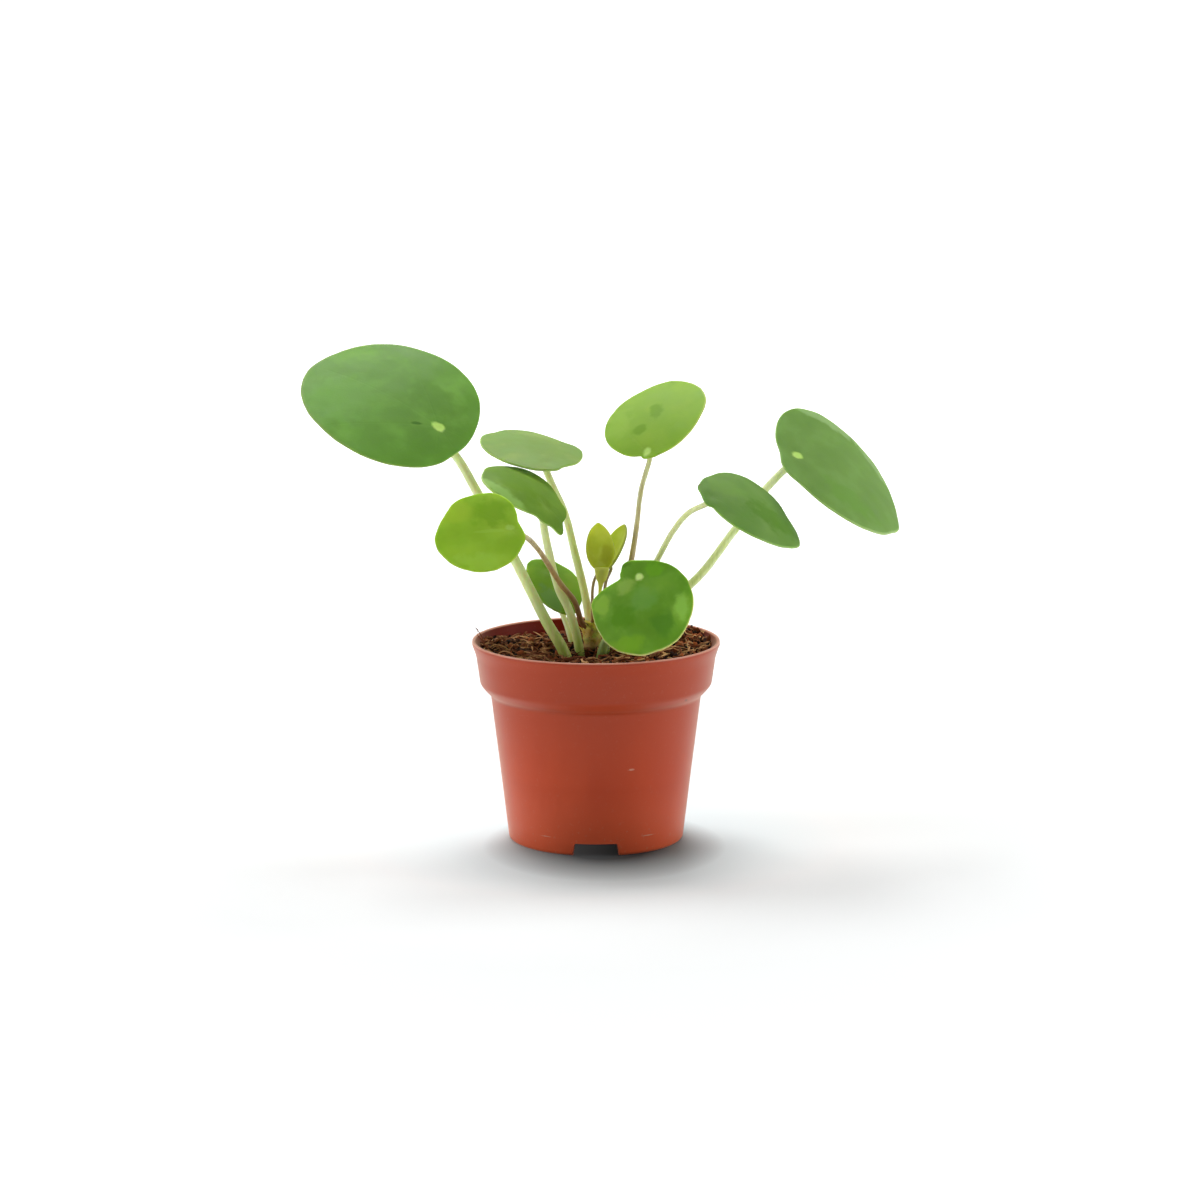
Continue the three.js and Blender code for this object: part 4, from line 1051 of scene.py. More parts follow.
# Grown plant skin over juicy tissue: half matt with a soft highlight down the side
STALK_FINISHES = {
    "pale": (stalk_skin("green_stalk_skin", "A6B850", "D4E2A6", "D8E4B6", "D8C498"), "green_petiole"),
    "muted": (stalk_skin("muted_green_stalk_skin", "B0BC80", "BCC698", "C6CEA6", "B8B08C"), "green_petiole"),
    "green": (stalk_skin("fresh_green_stalk_skin", "6E8630", "DAE4B0", "DCE6C6", "B4C47C"), "green_petiole"),
    # The light finish is the pale one with a lighter foot: painted light on a stalk that stands in shade
    # between the others
    "light": (stalk_skin("painted_light_stalk_skin", "DCE09C", "D4E2A6", "D8E4B6", "D8C498"), "green_petiole"),
    "tan": (stalk_skin("tan_stalk_skin", "A87858", "BEAC90", "CCD0B0", "A07858"), "reddish_petiole"),
    "red": (stalk_skin("reddish_stalk_skin", "7E5238", "A08458", "B2B098", "7E5A40"), "reddish_petiole"),
    "dark": (stalk_skin("dark_stalk_skin", "8A5A44", "86705E", "7C7458", "5E4438"), "reddish_petiole"),
}

for name, (_, (foot_thickness, top_thickness), finish) in STALKS.items():
    skin, slot = STALK_FINISHES[finish]
    stalk = grown("stalk_" + name, stalk_guide(name), strand_tree, {
        "Foot Thickness": foot_thickness * mm, "Top Thickness": top_thickness * mm, "Swelling": 0.22,
        "Unevenness": 0.16 * mm, "Tone": 0.0, "Steps": 96, "Sides": 20, "Material": skin})
    smooth(stalk.data, 60)
    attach(stalk, "root")
    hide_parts("petiole_" + name)


# ------------------------------------------------------------------ leaf blades
# The blades are fleshy round shields, carried from below like an umbrella, which is what gives a pilea
# its look. Each is a thin pad with a rounded margin, bent about its own midrib, and its veins run out
# from the pale spot over its stalk.

# Each blade: length, width, and how far in from its near edge the stalk joins; the radii that it is
# bent to along and across the midrib; and where its margin leaves the plain egg, each a bearing, a
# depth (less than nought where it bulges) and a spread in degrees
BLADES = {
    "far_left": ((45.5, 41.5, 8), (70, 200), [
        (-90, -0.9, 24), (-2, 1.5, 12), (35, 0.5, 30), (115, -0.4, 20)]),
    "back_left": ((29.5, 25, 4.5), (80, 120), [(-115, 1.6, 36), (-32, 3, 14), (7, 2, 15)]),
    "arched": ((25, 23, 5.5), (27, 95), [
        (174, -2.7, 18), (5, 1.7, 20), (100, 2.2, 20), (-80, 3, 26), (45, -0.8, 18)]),
    "front_left": ((21, 22.5, 3.5), (50, 300), [
        (-160, 1, 40), (-122, 0.9, 26), (-62, 0.4, 16), (-40, -0.6, 10), (135, -0.4, 20)]),
    "small_low": ((17.5, 12.5, 3.5), (50, 95), [(-150, -0.9, 30), (92, 0.9, 25)]),
    "top": ((28.3, 26.3, 2), (60, 500), [
        (-88, 1, 26), (103, 2, 30), (-38, -0.5, 14), (-60, 0.8, 12), (78, 0.8, 12)]),
    "middle_right": ((30.5, 24.5, 2.5), (40, 85), [
        (125, -0.7, 18), (-94, 2.4, 20), (5, 3.6, 12), (72, 1.2, 16), (-60, 1, 12)]),
    "front": ((24.5, 24.5, 4.5), (90, 50), [
        (-116, 1.4, 14), (-92.5, 4, 16), (-74, -1.3, 10), (0, 1.2, 16), (-150, -0.7, 25)]),
    "far_right": ((38, 40, 6), (60, 1000), [
        (-86, 3.6, 30), (80, -1.3, 20), (18, -2, 14), (170, 1.4, 55), (-14, -1.2, 8)]),
    "young_left": ((12.6, 7.3, 1.8), (-20, -9), [(0, 1.1, 32)]),
    "young_right": ((13, 8.8, 1.6), (-30, -9), [(0, 1, 32)]),
}
NO_DENT = (0, 0, 20)
DENTS = ("First Dent", "Second Dent", "Third Dent", "Fourth Dent", "Fifth Dent")
MIDDLE_THICKNESS = 0.8
MARGIN_THICKNESS = 0.6
MARGIN_ROUNDING = 0.35
BLADE_RINGS = 34
BLADE_SPOKES = 128
# How a blade is narrower at its tip than at its base, and how blunt its tip is
NARROWING = 0.09
BLUNTING = 0.0267
BLUNT_WITHIN = 0.3
WANDER_SCALE = 2.2
WAVE = 9 * mm
DIMPLE_RADIUS = 1.5 * mm
SEAM_GAP = 0.002 * mm

blade_tree, given, blade_result = new_tree("shield_blade", {
    "Hub": "Vector", "Midrib": "Vector", "Left": "Vector", "Face": "Vector", "Length": "Float",
    "Width": "Float", "Base": "Float", "Bend Along": "Float", "Bend Across": "Float",
    "Middle Thickness": "Float", "Margin Thickness": "Float", "Margin Rounding": "Float",
    **{dent: "Vector" for dent in DENTS}, "Margin Wander": "Float", "Waviness": "Float",
    "Dimple": "Float", "Seed": "Float", "Rings": "Int", "Spokes": "Int", "Material": "Material"})


def bell(distance, reach):
    """One at no distance, falling off as a bell curve over the reach."""
    share = add(blade_tree, "ShaderNodeMath", [distance, reach], operation="DIVIDE")
    squared = add(blade_tree, "ShaderNodeMath", [share, share], operation="MULTIPLY")
    squared = add(blade_tree, "ShaderNodeMath", [squared, -1.0], operation="MULTIPLY")
    return add(blade_tree, "ShaderNodeMath", [squared], operation="EXPONENT")


# The sheet of the grid runs from the hub over the upper face, round the margin and back underneath:
# its X is minus one at the hub above, nought at the margin, and one at the hub below
sheet = add(blade_tree, "GeometryNodeMeshGrid", {
    "Size X": 2.0, "Size Y": 2 * math.pi, "Vertices X": given["Rings"], "Vertices Y": given["Spokes"]})
sheet_place = add(blade_tree, "GeometryNodeInputPosition")
sheet_place = add(blade_tree, "ShaderNodeSeparateXYZ", {"Vector": sheet_place})
round_margin = sheet_place.outputs["X"]
bearing = sheet_place.outputs["Y"]
side = add(blade_tree, "ShaderNodeMath", [round_margin], operation="SIGN")
side = add(blade_tree, "ShaderNodeMath", [side, -1.0], operation="MULTIPLY")
outward = add(blade_tree, "ShaderNodeMath", [round_margin, round_margin], operation="MULTIPLY")
outward = add(blade_tree, "ShaderNodeMath", [1.0, outward], operation="SUBTRACT")

# The outline: an egg round the hub, blunt at the tip
half_length = add(blade_tree, "ShaderNodeMath", [given["Length"], 0.5], operation="MULTIPLY")
half_width = add(blade_tree, "ShaderNodeMath", [given["Width"], 0.5], operation="MULTIPLY")
cosine = add(blade_tree, "ShaderNodeMath", [bearing], operation="COSINE")
sine = add(blade_tree, "ShaderNodeMath", [bearing], operation="SINE")
middle = add(blade_tree, "ShaderNodeMath", [half_length, given["Base"]], operation="SUBTRACT")
along = add(blade_tree, "ShaderNodeMath", [half_length, cosine, middle], operation="MULTIPLY_ADD")
blunting = add(blade_tree, "ShaderNodeMath", [given["Length"], BLUNTING], operation="MULTIPLY")
along = add(blade_tree, "ShaderNodeMath", [blunting, bell(bearing, BLUNT_WITHIN), along],
            operation="MULTIPLY_ADD")
narrowed = add(blade_tree, "ShaderNodeMath", [cosine, -NARROWING, 1.0], operation="MULTIPLY_ADD")
across = add(blade_tree, "ShaderNodeMath", [half_width, sine], operation="MULTIPLY")
across = add(blade_tree, "ShaderNodeMath", [across, narrowed], operation="MULTIPLY")

# Its dents: a slow wander of the whole margin, and a bell-shaped dent or bulge at each named bearing.
# How far the margin is from the hub falls by their depth.
round_hub = add(blade_tree, "ShaderNodeCombineXYZ", {"X": cosine, "Y": sine, "Z": given["Seed"]})
wander = add(blade_tree, "ShaderNodeTexNoise", {"Vector": round_hub, "Scale": WANDER_SCALE, "Detail": 2.0})
wander = add(blade_tree, "ShaderNodeMath", [wander, 0.5], operation="SUBTRACT")
depth = add(blade_tree, "ShaderNodeMath", [wander, given["Margin Wander"]], operation="MULTIPLY")
flat_bearing = add(blade_tree, "ShaderNodeMath", [across, along], operation="ARCTAN2")
for name in DENTS:
    dent = add(blade_tree, "ShaderNodeSeparateXYZ", {"Vector": given[name]}).outputs
    off_dent = add(blade_tree, "ShaderNodeMath", [flat_bearing, dent["X"]], operation="SUBTRACT")
    off_dent = add(blade_tree, "ShaderNodeMath", [off_dent, math.pi, -math.pi], operation="WRAP")
    depth = add(blade_tree, "ShaderNodeMath", [bell(off_dent, dent["Z"]), dent["Y"], depth],
                operation="MULTIPLY_ADD")
across_squared = add(blade_tree, "ShaderNodeMath", [across, across], operation="MULTIPLY")
reach = add(blade_tree, "ShaderNodeMath", [along, along, across_squared], operation="MULTIPLY_ADD")
reach = add(blade_tree, "ShaderNodeMath", [reach], operation="SQRT")
kept = add(blade_tree, "ShaderNodeMath", [depth, reach], operation="DIVIDE")
kept = add(blade_tree, "ShaderNodeMath", [1.0, kept], operation="SUBTRACT")
reach = add(blade_tree, "ShaderNodeMath", [reach, kept], operation="MULTIPLY")
along = add(blade_tree, "ShaderNodeMath", [along, kept], operation="MULTIPLY")
along = add(blade_tree, "ShaderNodeMath", [along, outward], operation="MULTIPLY")
across = add(blade_tree, "ShaderNodeMath", [across, kept], operation="MULTIPLY")
across = add(blade_tree, "ShaderNodeMath", [across, outward], operation="MULTIPLY")
flat_place = add(blade_tree, "ShaderNodeCombineXYZ", {"X": along, "Y": across, "Z": given["Seed"]})

# The bend: the flat blade is laid on a surface with one radius along the midrib and one across it.
# A bent blade's place is worked out with the way that it faces there.
bend = given["Bend Along"]
roll = given["Bend Across"]
turn = add(blade_tree, "ShaderNodeMath", [along, bend], operation="DIVIDE")
tilt = add(blade_tree, "ShaderNodeMath", [across, roll], operation="DIVIDE")
sine_along = add(blade_tree, "ShaderNodeMath", [turn], operation="SINE")
cosine_along = add(blade_tree, "ShaderNodeMath", [turn], operation="COSINE")
sine_across = add(blade_tree, "ShaderNodeMath", [tilt], operation="SINE")
cosine_across = add(blade_tree, "ShaderNodeMath", [tilt], operation="COSINE")
fall_across = add(blade_tree, "ShaderNodeMath", [1.0, cosine_across], operation="SUBTRACT")
fall_across = add(blade_tree, "ShaderNodeMath", [roll, fall_across], operation="MULTIPLY")
bent_x = add(blade_tree, "ShaderNodeMath", [bend, fall_across], operation="SUBTRACT")
bent_x = add(blade_tree, "ShaderNodeMath", [bent_x, sine_along], operation="MULTIPLY")
bent_y = add(blade_tree, "ShaderNodeMath", [roll, sine_across], operation="MULTIPLY")
fall_across = add(blade_tree, "ShaderNodeMath", [fall_across, cosine_along], operation="MULTIPLY")
fall = add(blade_tree, "ShaderNodeMath", [1.0, cosine_along], operation="SUBTRACT")
fall = add(blade_tree, "ShaderNodeMath", [bend, fall, fall_across], operation="MULTIPLY_ADD")
bent_z = add(blade_tree, "ShaderNodeMath", [fall, -1.0], operation="MULTIPLY")
bent = add(blade_tree, "ShaderNodeCombineXYZ", {"X": bent_x, "Y": bent_y, "Z": bent_z})
facing_x = add(blade_tree, "ShaderNodeMath", [cosine_across, sine_along], operation="MULTIPLY")
facing_z = add(blade_tree, "ShaderNodeMath", [cosine_across, cosine_along], operation="MULTIPLY")
facing = add(blade_tree, "ShaderNodeCombineXYZ", {"X": facing_x, "Y": sine_across, "Z": facing_z})

# The body: half the thickness to either side, rounded off at the margin, with the slow waves of a
# grown leaf and a dimple over the stalk
inward = add(blade_tree, "ShaderNodeMath", [1.0, outward], operation="SUBTRACT")
inward = add(blade_tree, "ShaderNodeMath", [inward, reach], operation="MULTIPLY")
rounding = add(blade_tree, "ShaderNodeMath", [inward, given["Margin Rounding"]], operation="DIVIDE")
rounding = add(blade_tree, "ShaderNodeMath", [rounding, 1.0], operation="MINIMUM")
rounding = add(blade_tree, "ShaderNodeMath", [1.0, rounding], operation="SUBTRACT")
rounding = add(blade_tree, "ShaderNodeMath", [rounding, rounding], operation="MULTIPLY")
rounding = add(blade_tree, "ShaderNodeMath", [1.0, rounding], operation="SUBTRACT")
rounding = add(blade_tree, "ShaderNodeMath", [rounding], operation="SQRT")
rounding = add(blade_tree, "ShaderNodeMath", [rounding, side], operation="MULTIPLY")
half_body = add(blade_tree, "ShaderNodeMapRange", {"Value": outward, "To Min": given["Middle Thickness"],
                                                   "To Max": given["Margin Thickness"]})
half_body = add(blade_tree, "ShaderNodeMath", [half_body, 0.5], operation="MULTIPLY")
half_body = add(blade_tree, "ShaderNodeMath", [half_body, rounding], operation="MULTIPLY")
waviness = add(blade_tree, "ShaderNodeMath", [given["Waviness"], outward], operation="MULTIPLY")
waves = add(blade_tree, "ShaderNodeTexNoise", {"Vector": flat_place, "Scale": 1 / WAVE, "Detail": 1.5})
waves = add(blade_tree, "ShaderNodeMath", [waves, 0.5], operation="SUBTRACT")
waves = add(blade_tree, "ShaderNodeMath", [waves, waviness], operation="MULTIPLY")
from_hub = add(blade_tree, "ShaderNodeMath", [outward, reach], operation="MULTIPLY")
dimple = add(blade_tree, "ShaderNodeMath", [given["Dimple"], -1.0], operation="MULTIPLY")
lift = add(blade_tree, "ShaderNodeMath", [bell(from_hub, DIMPLE_RADIUS), dimple, waves],
           operation="MULTIPLY_ADD")
lift = add(blade_tree, "ShaderNodeMath", [half_body, lift], operation="ADD")
lift = add(blade_tree, "ShaderNodeVectorMath", {0: facing, "Scale": lift}, operation="SCALE")
thick = add(blade_tree, "ShaderNodeVectorMath", [bent, lift], operation="ADD")

# The posture: the finished blade is turned to its directions and set on its hub
thick = add(blade_tree, "ShaderNodeSeparateXYZ", {"Vector": thick}).outputs
posed = given["Hub"]
for direction, axis in (("Midrib", "X"), ("Left", "Y"), ("Face", "Z")):
    part = add(blade_tree, "ShaderNodeVectorMath", {0: given[direction], "Scale": thick[axis]},
               operation="SCALE")
    posed = add(blade_tree, "ShaderNodeVectorMath", [posed, part], operation="ADD")

# What the skin reads: the place on the flat blade in millimetres, with the side of it as Z, and how far
# out a place is
flat = add(blade_tree, "ShaderNodeVectorMath", [flat_place, (1 / mm, 1 / mm, 0)], operation="MULTIPLY")
which_side = add(blade_tree, "ShaderNodeCombineXYZ", {"X": 0.0, "Y": 0.0, "Z": side})
flat = add(blade_tree, "ShaderNodeVectorMath", [flat, which_side], operation="ADD")
blade = sheet
for name, value, kind in (("blade_flat", flat, "FLOAT_VECTOR"), ("outward", outward, "FLOAT")):
    blade = add(blade_tree, "GeometryNodeStoreNamedAttribute", {
        "Geometry": blade, "Name": name, "Value": value}, data_type=kind, domain="POINT")
blade = add(blade_tree, "GeometryNodeSetPosition", {"Geometry": blade, "Position": posed})
blade = add(blade_tree, "GeometryNodeMergeByDistance", {"Geometry": blade, "Distance": SEAM_GAP})
end_tree(blade_tree, given, blade_result, blade)

# Leaf skin: waxy cuticle over soft green tissue. It is half matt, mottled in soft patches a few
# millimetres across, and paler underneath, along the veins and in the spot over the stalk. Its rim
# takes a colour of its own, on most blades paler and greyer, a painted highlight along the rounded edge.
VEINS = 9
VEIN_HALF_WIDTH = 0.42
PATCH = 7 * mm
RAGGED_EDGE = 2.8 * mm
LEAF_PORE = 0.5 * mm
# The roughness of the skin in its deep patches and in its light ones
LEAF_GLOSS = (0.42, 0.56)


def leaf_skin(name, deep, ground, light, underside, margin, spots):
    """The skin of one blade. Each spot is a place, half-lengths and a turn on the flat blade, in
    millimetres and degrees, with its colour and strength."""
    material, tree = new_material(name)
    place = add(tree, "ShaderNodeTexCoord").outputs["Object"]
    flat = add(tree, "ShaderNodeAttribute", attribute_name="blade_flat").outputs["Vector"]
    outward = add(tree, "ShaderNodeAttribute", attribute_name="outward").outputs["Fac"]
    parts = add(tree, "ShaderNodeSeparateXYZ", {"Vector": flat}).outputs
    patches = add(tree, "ShaderNodeTexNoise", {"Vector": place, "Scale": 1 / PATCH, "Detail": 3})
    deep_share = add(tree, "ShaderNodeMapRange", {"Value": patches, "From Min": 0.55, "From Max": 0.32})
    light_share = add(tree, "ShaderNodeMapRange", {"Value": patches, "From Min": 0.5, "From Max": 0.7})

    # Veins: lines that run out from the hub at even bearings and fade before the margin
    bearing = add(tree, "ShaderNodeMath", [parts["Y"], parts["X"]], operation="ARCTAN2")
    turns = add(tree, "ShaderNodeMath", [bearing, VEINS / (2 * math.pi)], operation="MULTIPLY")
    off_vein = add(tree, "ShaderNodeMath", [turns, 0.5, -0.5], operation="WRAP")
    off_vein = add(tree, "ShaderNodeMath", [off_vein], operation="ABSOLUTE")
    span = add(tree, "ShaderNodeVectorMath", [flat, (1, 1, 0)], operation="MULTIPLY")
    from_hub = add(tree, "ShaderNodeVectorMath", [span], operation="LENGTH").outputs["Value"]
    off_vein = add(tree, "ShaderNodeMath", [off_vein, from_hub], operation="MULTIPLY")
    vein = add(tree, "ShaderNodeMapRange", {
        "Value": off_vein, "From Min": VEIN_HALF_WIDTH * VEINS / (2 * math.pi), "From Max": 0.0},
        interpolation_type="SMOOTHSTEP")
    fading = add(tree, "ShaderNodeMapRange", {"Value": outward, "From Min": 0.2, "From Max": 0.9,
                                              "To Min": 0.12, "To Max": 0.0})
    vein_share = add(tree, "ShaderNodeMath", [vein, fading], operation="MULTIPLY")
    layers = [(deep_share, deep), (light_share, light), (vein_share, light)]

    # Spots: ovals with ragged, fading edges
    ragged = add(tree, "ShaderNodeTexNoise", {"Vector": place, "Scale": 1 / RAGGED_EDGE, "Detail": 4})
    ragged = add(tree, "ShaderNodeMath", [ragged, 0.5], operation="SUBTRACT")
    for (u, v), (half_u, half_v), turn, tint, strength in spots:
        local = add(tree, "ShaderNodeMapping", {
            "Vector": span, "Location": (u, v, 0), "Rotation": (0, 0, math.radians(turn)),
            "Scale": (half_u, half_v, 1)}, vector_type="TEXTURE")
        away = add(tree, "ShaderNodeVectorMath", [local], operation="LENGTH").outputs["Value"]
        fuzzy = add(tree, "ShaderNodeMath", [ragged, 1.8, away], operation="MULTIPLY_ADD")
        share = add(tree, "ShaderNodeMapRange", {"Value": fuzzy, "From Min": 1.3, "From Max": 0.55,
                                                 "To Max": strength}, interpolation_type="SMOOTHSTEP")
        layers.append((share, tint))

    below = add(tree, "ShaderNodeMapRange", {"Value": parts["Z"], "From Min": 0.2, "From Max": -0.2})
    # The rim gets a colour of its own, paler and greyer on most blades: a painted highlight along the rounded
    # edge
    painted_rim = add(tree, "ShaderNodeMapRange", {"Value": outward, "From Min": 0.975, "From Max": 0.992,
                                                 "To Max": 0.75})
    layers += [(below, underside), (painted_rim, margin)]
    colour = linear(ground)
    for share, tint in layers:
        colour = add(tree, "ShaderNodeMix", {"Factor": share, "A": colour, "B": linear(tint)},
                     data_type="RGBA")

    pores = add(tree, "ShaderNodeTexNoise", {"Vector": place, "Scale": 1 / LEAF_PORE, "Detail": 3})
    quilting = add(tree, "ShaderNodeMath", [vein, -0.5, pores], operation="MULTIPLY_ADD")
    relief = add(tree, "ShaderNodeBump", {"Strength": 0.3, "Distance": 0.06 * mm, "Height": quilting})
    sheen = add(tree, "ShaderNodeMapRange", {"Value": patches, "From Min": 0.3, "From Max": 0.7,
                                             "To Min": LEAF_GLOSS[0], "To Max": LEAF_GLOSS[1]})
    skin = add(tree, "ShaderNodeBsdfPrincipled", {
        "Base Color": colour, "Roughness": sheen, "IOR": 1.42, "Specular IOR Level": 0.12,
        "Subsurface Weight": 0.9, "Subsurface Radius": (0.9, 1.1, 0.35), "Subsurface Scale": 2 * mm,
        "Normal": relief})
    add(tree, "ShaderNodeOutputMaterial", {"Surface": skin})
    return material


# Each blade's colours: deep, ground, light, underside, margin (on most blades a painted highlight), and its
# spots
LEAF_COLOURS = {
    "far_left": ("658D3B", "69923D", "739C45", "93AE6E", "7F8F5C", [
        ((6, -7), (7, 5), 0, "5C8430", 0.5), ((24, 8), (9, 9), 0, "6F9A44", 0.7),
        ((4.4, 3.1), (1.5, 0.5), 35, "42691F", 0.8), ((0, 0), (1.6, 1.1), 0, "C2E878", 1.0)]),
    "back_left": ("7A9A4C", "7E994E", "8AA156", "9FB97A", "A9BE7E", [
        ((7, -3), (9, 5), 0, "76943F", 0.5)]),
    # On the arched blade the dark band is painted shade beyond its crest, and the pale grey-green strip is a
    # painted sheen
    "arched": ("628423", "67892A", "729233", "86A356", "A3B878", [
        ((9, 2), (8, 4), 0, "5E8410", 0.7), ((8.5, 9.6), (9, 2), 0, "86A854", 0.9)]),
    "front_left": ("89AA2A", "90B230", "98B636", "92AE50", "8CA23C", [
        ((4, -5), (5, 4), 0, "789E18", 0.8), ((12.5, -6.5), (4.5, 3.5), 0, "A0B834", 0.6),
        ((8, 8.5), (6, 2.6), -12, "A2C24C", 0.6), ((4.6, 0.4), (4, 0.45), -6, "A2C04C", 0.4),
        ((0, 0), (1.1, 0.8), 0, "A9C85A", 0.8)]),
    "small_low": ("789A30", "7FA336", "8EA93E", "76883E", "7C8A48", [
        ((9, -3.4), (4.5, 2.6), 0, "7E9E62", 0.8)]),
    "top": ("83A438", "87A73B", "8CAA3E", "96B25A", "B0B878", [
        ((13.5, 0), (2.7, 2), 20, "6E9420", 0.8), ((7.6, 2.9), (1.7, 2.1), 10, "6E9420", 0.75),
        ((11, 9.5), (5, 3.6), 0, "92B048", 0.6), ((0, 0), (1.3, 1.1), 0, "BCDA78", 1.0)]),
    "middle_right": ("62873D", "688A43", "6F8F49", "86A058", "8CA868", [
        ((18, -2), (9, 5), 0, "547C26", 0.8), ((5, 4), (5, 3), 0, "6F9444", 0.5),
        ((-2.6, 4.2), (0.8, 0.6), 0, "6A5A30", 0.8)]),
    "front": ("6C982E", "74A138", "82AC40", "7E9C50", "CDC98A", [
        ((1.3, -3.8), (2.4, 2.2), 0, "A0C05C", 0.75), ((5.5, -9.6), (3, 2.2), 0, "9AC050", 0.8),
        ((5.8, 0.6), (3, 3.6), 0, "7EAC54", 0.6), ((9.2, -5.2), (3.2, 3.4), 0, "609420", 0.75),
        ((12.4, 4.4), (3.4, 2.6), 0, "5C8E2C", 0.8), ((8.6, 9.4), (3.4, 1.8), 0, "A0CC60", 0.8),
        ((16.5, -4), (2.4, 4), 0, "86B434", 0.8), ((-1.4, 3.4), (1.8, 2.4), 0, "7AB02C", 0.7),
        ((-3.8, -4), (1, 2), 0, "4E7620", 0.7), ((-0.3, -0.2), (0.95, 1.1), 0, "D8F494", 1.0)]),
    "far_right": ("688A43", "6E9047", "749650", "8FAB68", "9DB47C", [
        # On the far right blade the two long pale grey-green streaks are a painted sheen along its edge
        ((12, 18.6), (13, 1.8), -8, "98B27C", 0.6), ((28.5, 11.8), (9, 2), -38, "98B27C", 0.6),
        ((13, -10), (8, 4), -18, "66903A", 0.6), ((0, 0), (1.5, 1.2), 0, "B8DA70", 1.0)]),
    "young_left": ("B4B640", "C0C54C", "CED060", "8A9C3C", "989A58", [
        ((2, -1.5), (2.6, 1.6), 0, "A8A62C", 0.6)]),
    "young_right": ("AEB63A", "BAC446", "C8CE58", "8A9C3C", "989A58", []),
}
# How uneven a blade has grown: the wander of its margin, its waves, and the dimple over its stalk
GROWN_LEAF = {"Margin Wander": 0.9 * mm, "Waviness": 0.7 * mm, "Dimple": 0.25 * mm}
YOUNG_LEAF = {"Margin Wander": 0.3 * mm, "Waviness": 0.1 * mm, "Dimple": 0.05 * mm}
SEED_STEP = 0.05

for number, (name, ((length, width, base), (bend, roll), dents)) in enumerate(BLADES.items()):
    hub, *posture = POSTURES[name]
    midrib, left, face = blade_directions(*posture)
    dents = (dents + len(DENTS) * [NO_DENT])[:len(DENTS)]
    dents = [(math.radians(where), depth * mm, math.radians(spread)) for where, depth, spread in dents]
    blade = grown("blade_of_" + name, bpy.data.meshes.new("blank"), blade_tree, {
        "Hub": Vector(hub) * mm, "Midrib": midrib, "Left": left, "Face": face, "Length": length * mm,
        "Width": width * mm, "Base": base * mm, "Bend Along": bend * mm, "Bend Across": roll * mm,
        "Middle Thickness": MIDDLE_THICKNESS * mm, "Margin Thickness": MARGIN_THICKNESS * mm,
        "Margin Rounding": MARGIN_ROUNDING * mm, **dict(zip(DENTS, dents)),
        **(YOUNG_LEAF if name.startswith("young") else GROWN_LEAF), "Seed": number * SEED_STEP,
        "Rings": 2 * BLADE_RINGS + 1, "Spokes": BLADE_SPOKES + 1,
        "Material": leaf_skin("leaf_skin_" + name, *LEAF_COLOURS[name])})
    smooth(blade.data, 180)
    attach(blade, "root")
    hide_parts("blade_" + name)


# ------------------------------------------------------------------ bud
# The next leaf, still folded shut: a pale flat wedge with a groove down its front, on a short stalk
# that comes out of the tip of the stem and is red at its foot.

# Sections from the stem upwards: x, y, z, half-width and half-depth
BUD_SECTIONS = [
    (0.3, 1.4, 51.4, 0.42, 0.42), (0.5, 1, 52.6, 0.4, 0.4), (0.7, -0.2, 57, 0.4, 0.4),
    (1, -1.7, 61, 0.42, 0.4), (1.2, -2.1, 62.9, 0.75, 0.5), (1.3, -2.2, 63.5, 1.15, 0.7),
    (1.4, -2.3, 66, 1.75, 0.8), (1.4, -2.3, 66.5, 1.65, 0.5),
]
BUD_SPOKES = 28
BUD_STEPS = 6
# The spline needs places that differ, so the height goes with the halves, this many times smaller
KEEP_APART = 10
# The groove: its depth, its half-width in degrees, and the heights where it starts and is full
GROOVE = 0.35
GROOVE_SPREAD = 16
GROOVE_FROM = 62
GROOVE_FULL = 65


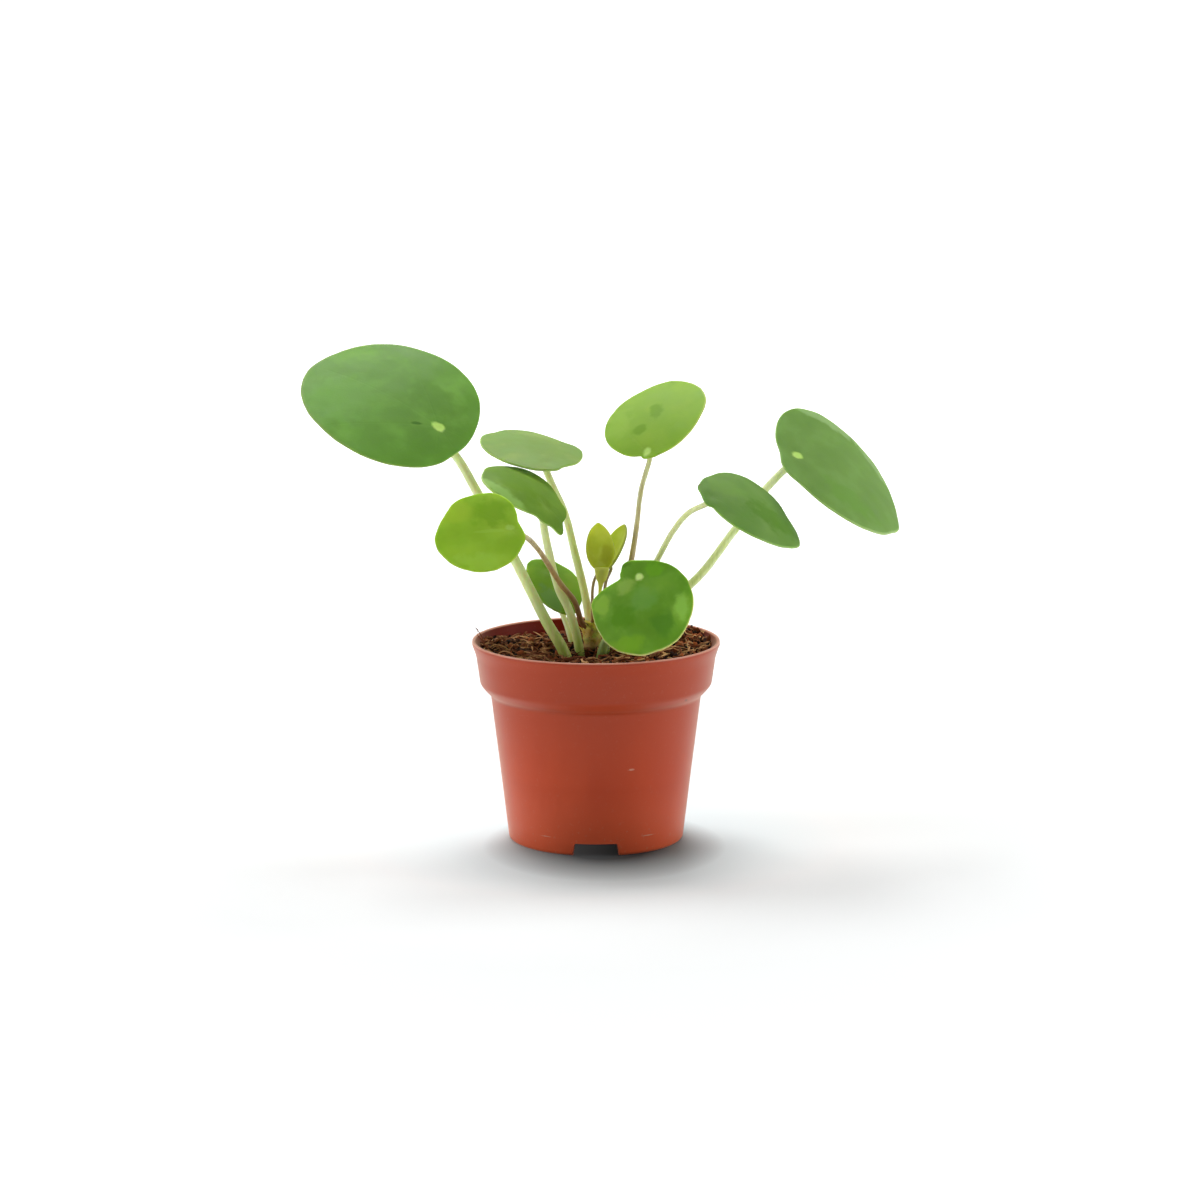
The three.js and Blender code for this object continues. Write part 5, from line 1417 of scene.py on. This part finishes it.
def folded_bud():
    """Ovals through the sections, smoothly joined, with a groove that deepens towards the top."""
    centres = bent_through([Vector(section[:3]) for section in BUD_SECTIONS], BUD_STEPS)
    halves = [Vector((*section[3:], section[2] / KEEP_APART)) for section in BUD_SECTIONS]
    halves = bent_through(halves, BUD_STEPS)
    body = bmesh.new()
    rings = []
    for centre, half in zip(centres, halves):
        ring = []
        openness = min(1, max(0, (centre.z - GROOVE_FROM) / (GROOVE_FULL - GROOVE_FROM)))
        for spoke in range(BUD_SPOKES):
            turn = 2 * math.pi * spoke / BUD_SPOKES
            off_front = degrees_between(math.degrees(turn), -90)
            keep = 1 - GROOVE * openness * math.exp(-(off_front / GROOVE_SPREAD) ** 2)
            x = centre.x + half.x * keep * math.cos(turn)
            y = centre.y + half.y * keep * math.sin(turn)
            ring.append(body.verts.new((x * mm, y * mm, centre.z * mm)))
        rings.append(ring)
    join_rings(body, rings)
    body.faces.new(list(reversed(rings[0])))
    body.faces.new(rings[-1])
    return made_mesh("folded_bud", body)


# Unopened leaf tissue: pale and downy, running to orange-red at the foot of its stalk
BUD_PALE = "C6CC5C"
BUD_RED = "C8743C"
BUD_DOWN = 0.4 * mm
REDDER_BELOW = 60 * mm
REDDEST_BELOW = 54 * mm
bud_skin, bud_tree = new_material("folded_leaf_skin")
on_bud = add(bud_tree, "ShaderNodeTexCoord").outputs["Object"]
bud_height = add(bud_tree, "ShaderNodeSeparateXYZ", {"Vector": on_bud}).outputs["Z"]
blush = add(bud_tree, "ShaderNodeMapRange", {"Value": bud_height, "From Min": REDDER_BELOW,
                                             "From Max": REDDEST_BELOW})
bud_colour = add(bud_tree, "ShaderNodeMix", {"Factor": blush, "A": linear(BUD_PALE), "B": linear(BUD_RED)},
                 data_type="RGBA")
down = add(bud_tree, "ShaderNodeTexNoise", {"Vector": on_bud, "Scale": 1 / BUD_DOWN, "Detail": 3})
bud_relief = add(bud_tree, "ShaderNodeBump", {"Strength": 0.3, "Distance": 0.05 * mm, "Height": down})
bud_surface = add(bud_tree, "ShaderNodeBsdfPrincipled", {
    "Base Color": bud_colour, "Roughness": 0.55, "Subsurface Weight": 0.9,
    "Subsurface Radius": (1.1, 1, 0.4), "Subsurface Scale": 2 * mm, "Normal": bud_relief})
add(bud_tree, "ShaderNodeOutputMaterial", {"Surface": bud_surface})

unopened_leaf = new_object("unopened_leaf", folded_bud(), bud_skin)
smooth(unopened_leaf.data, 60)
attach(unopened_leaf, "root")
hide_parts("bud")
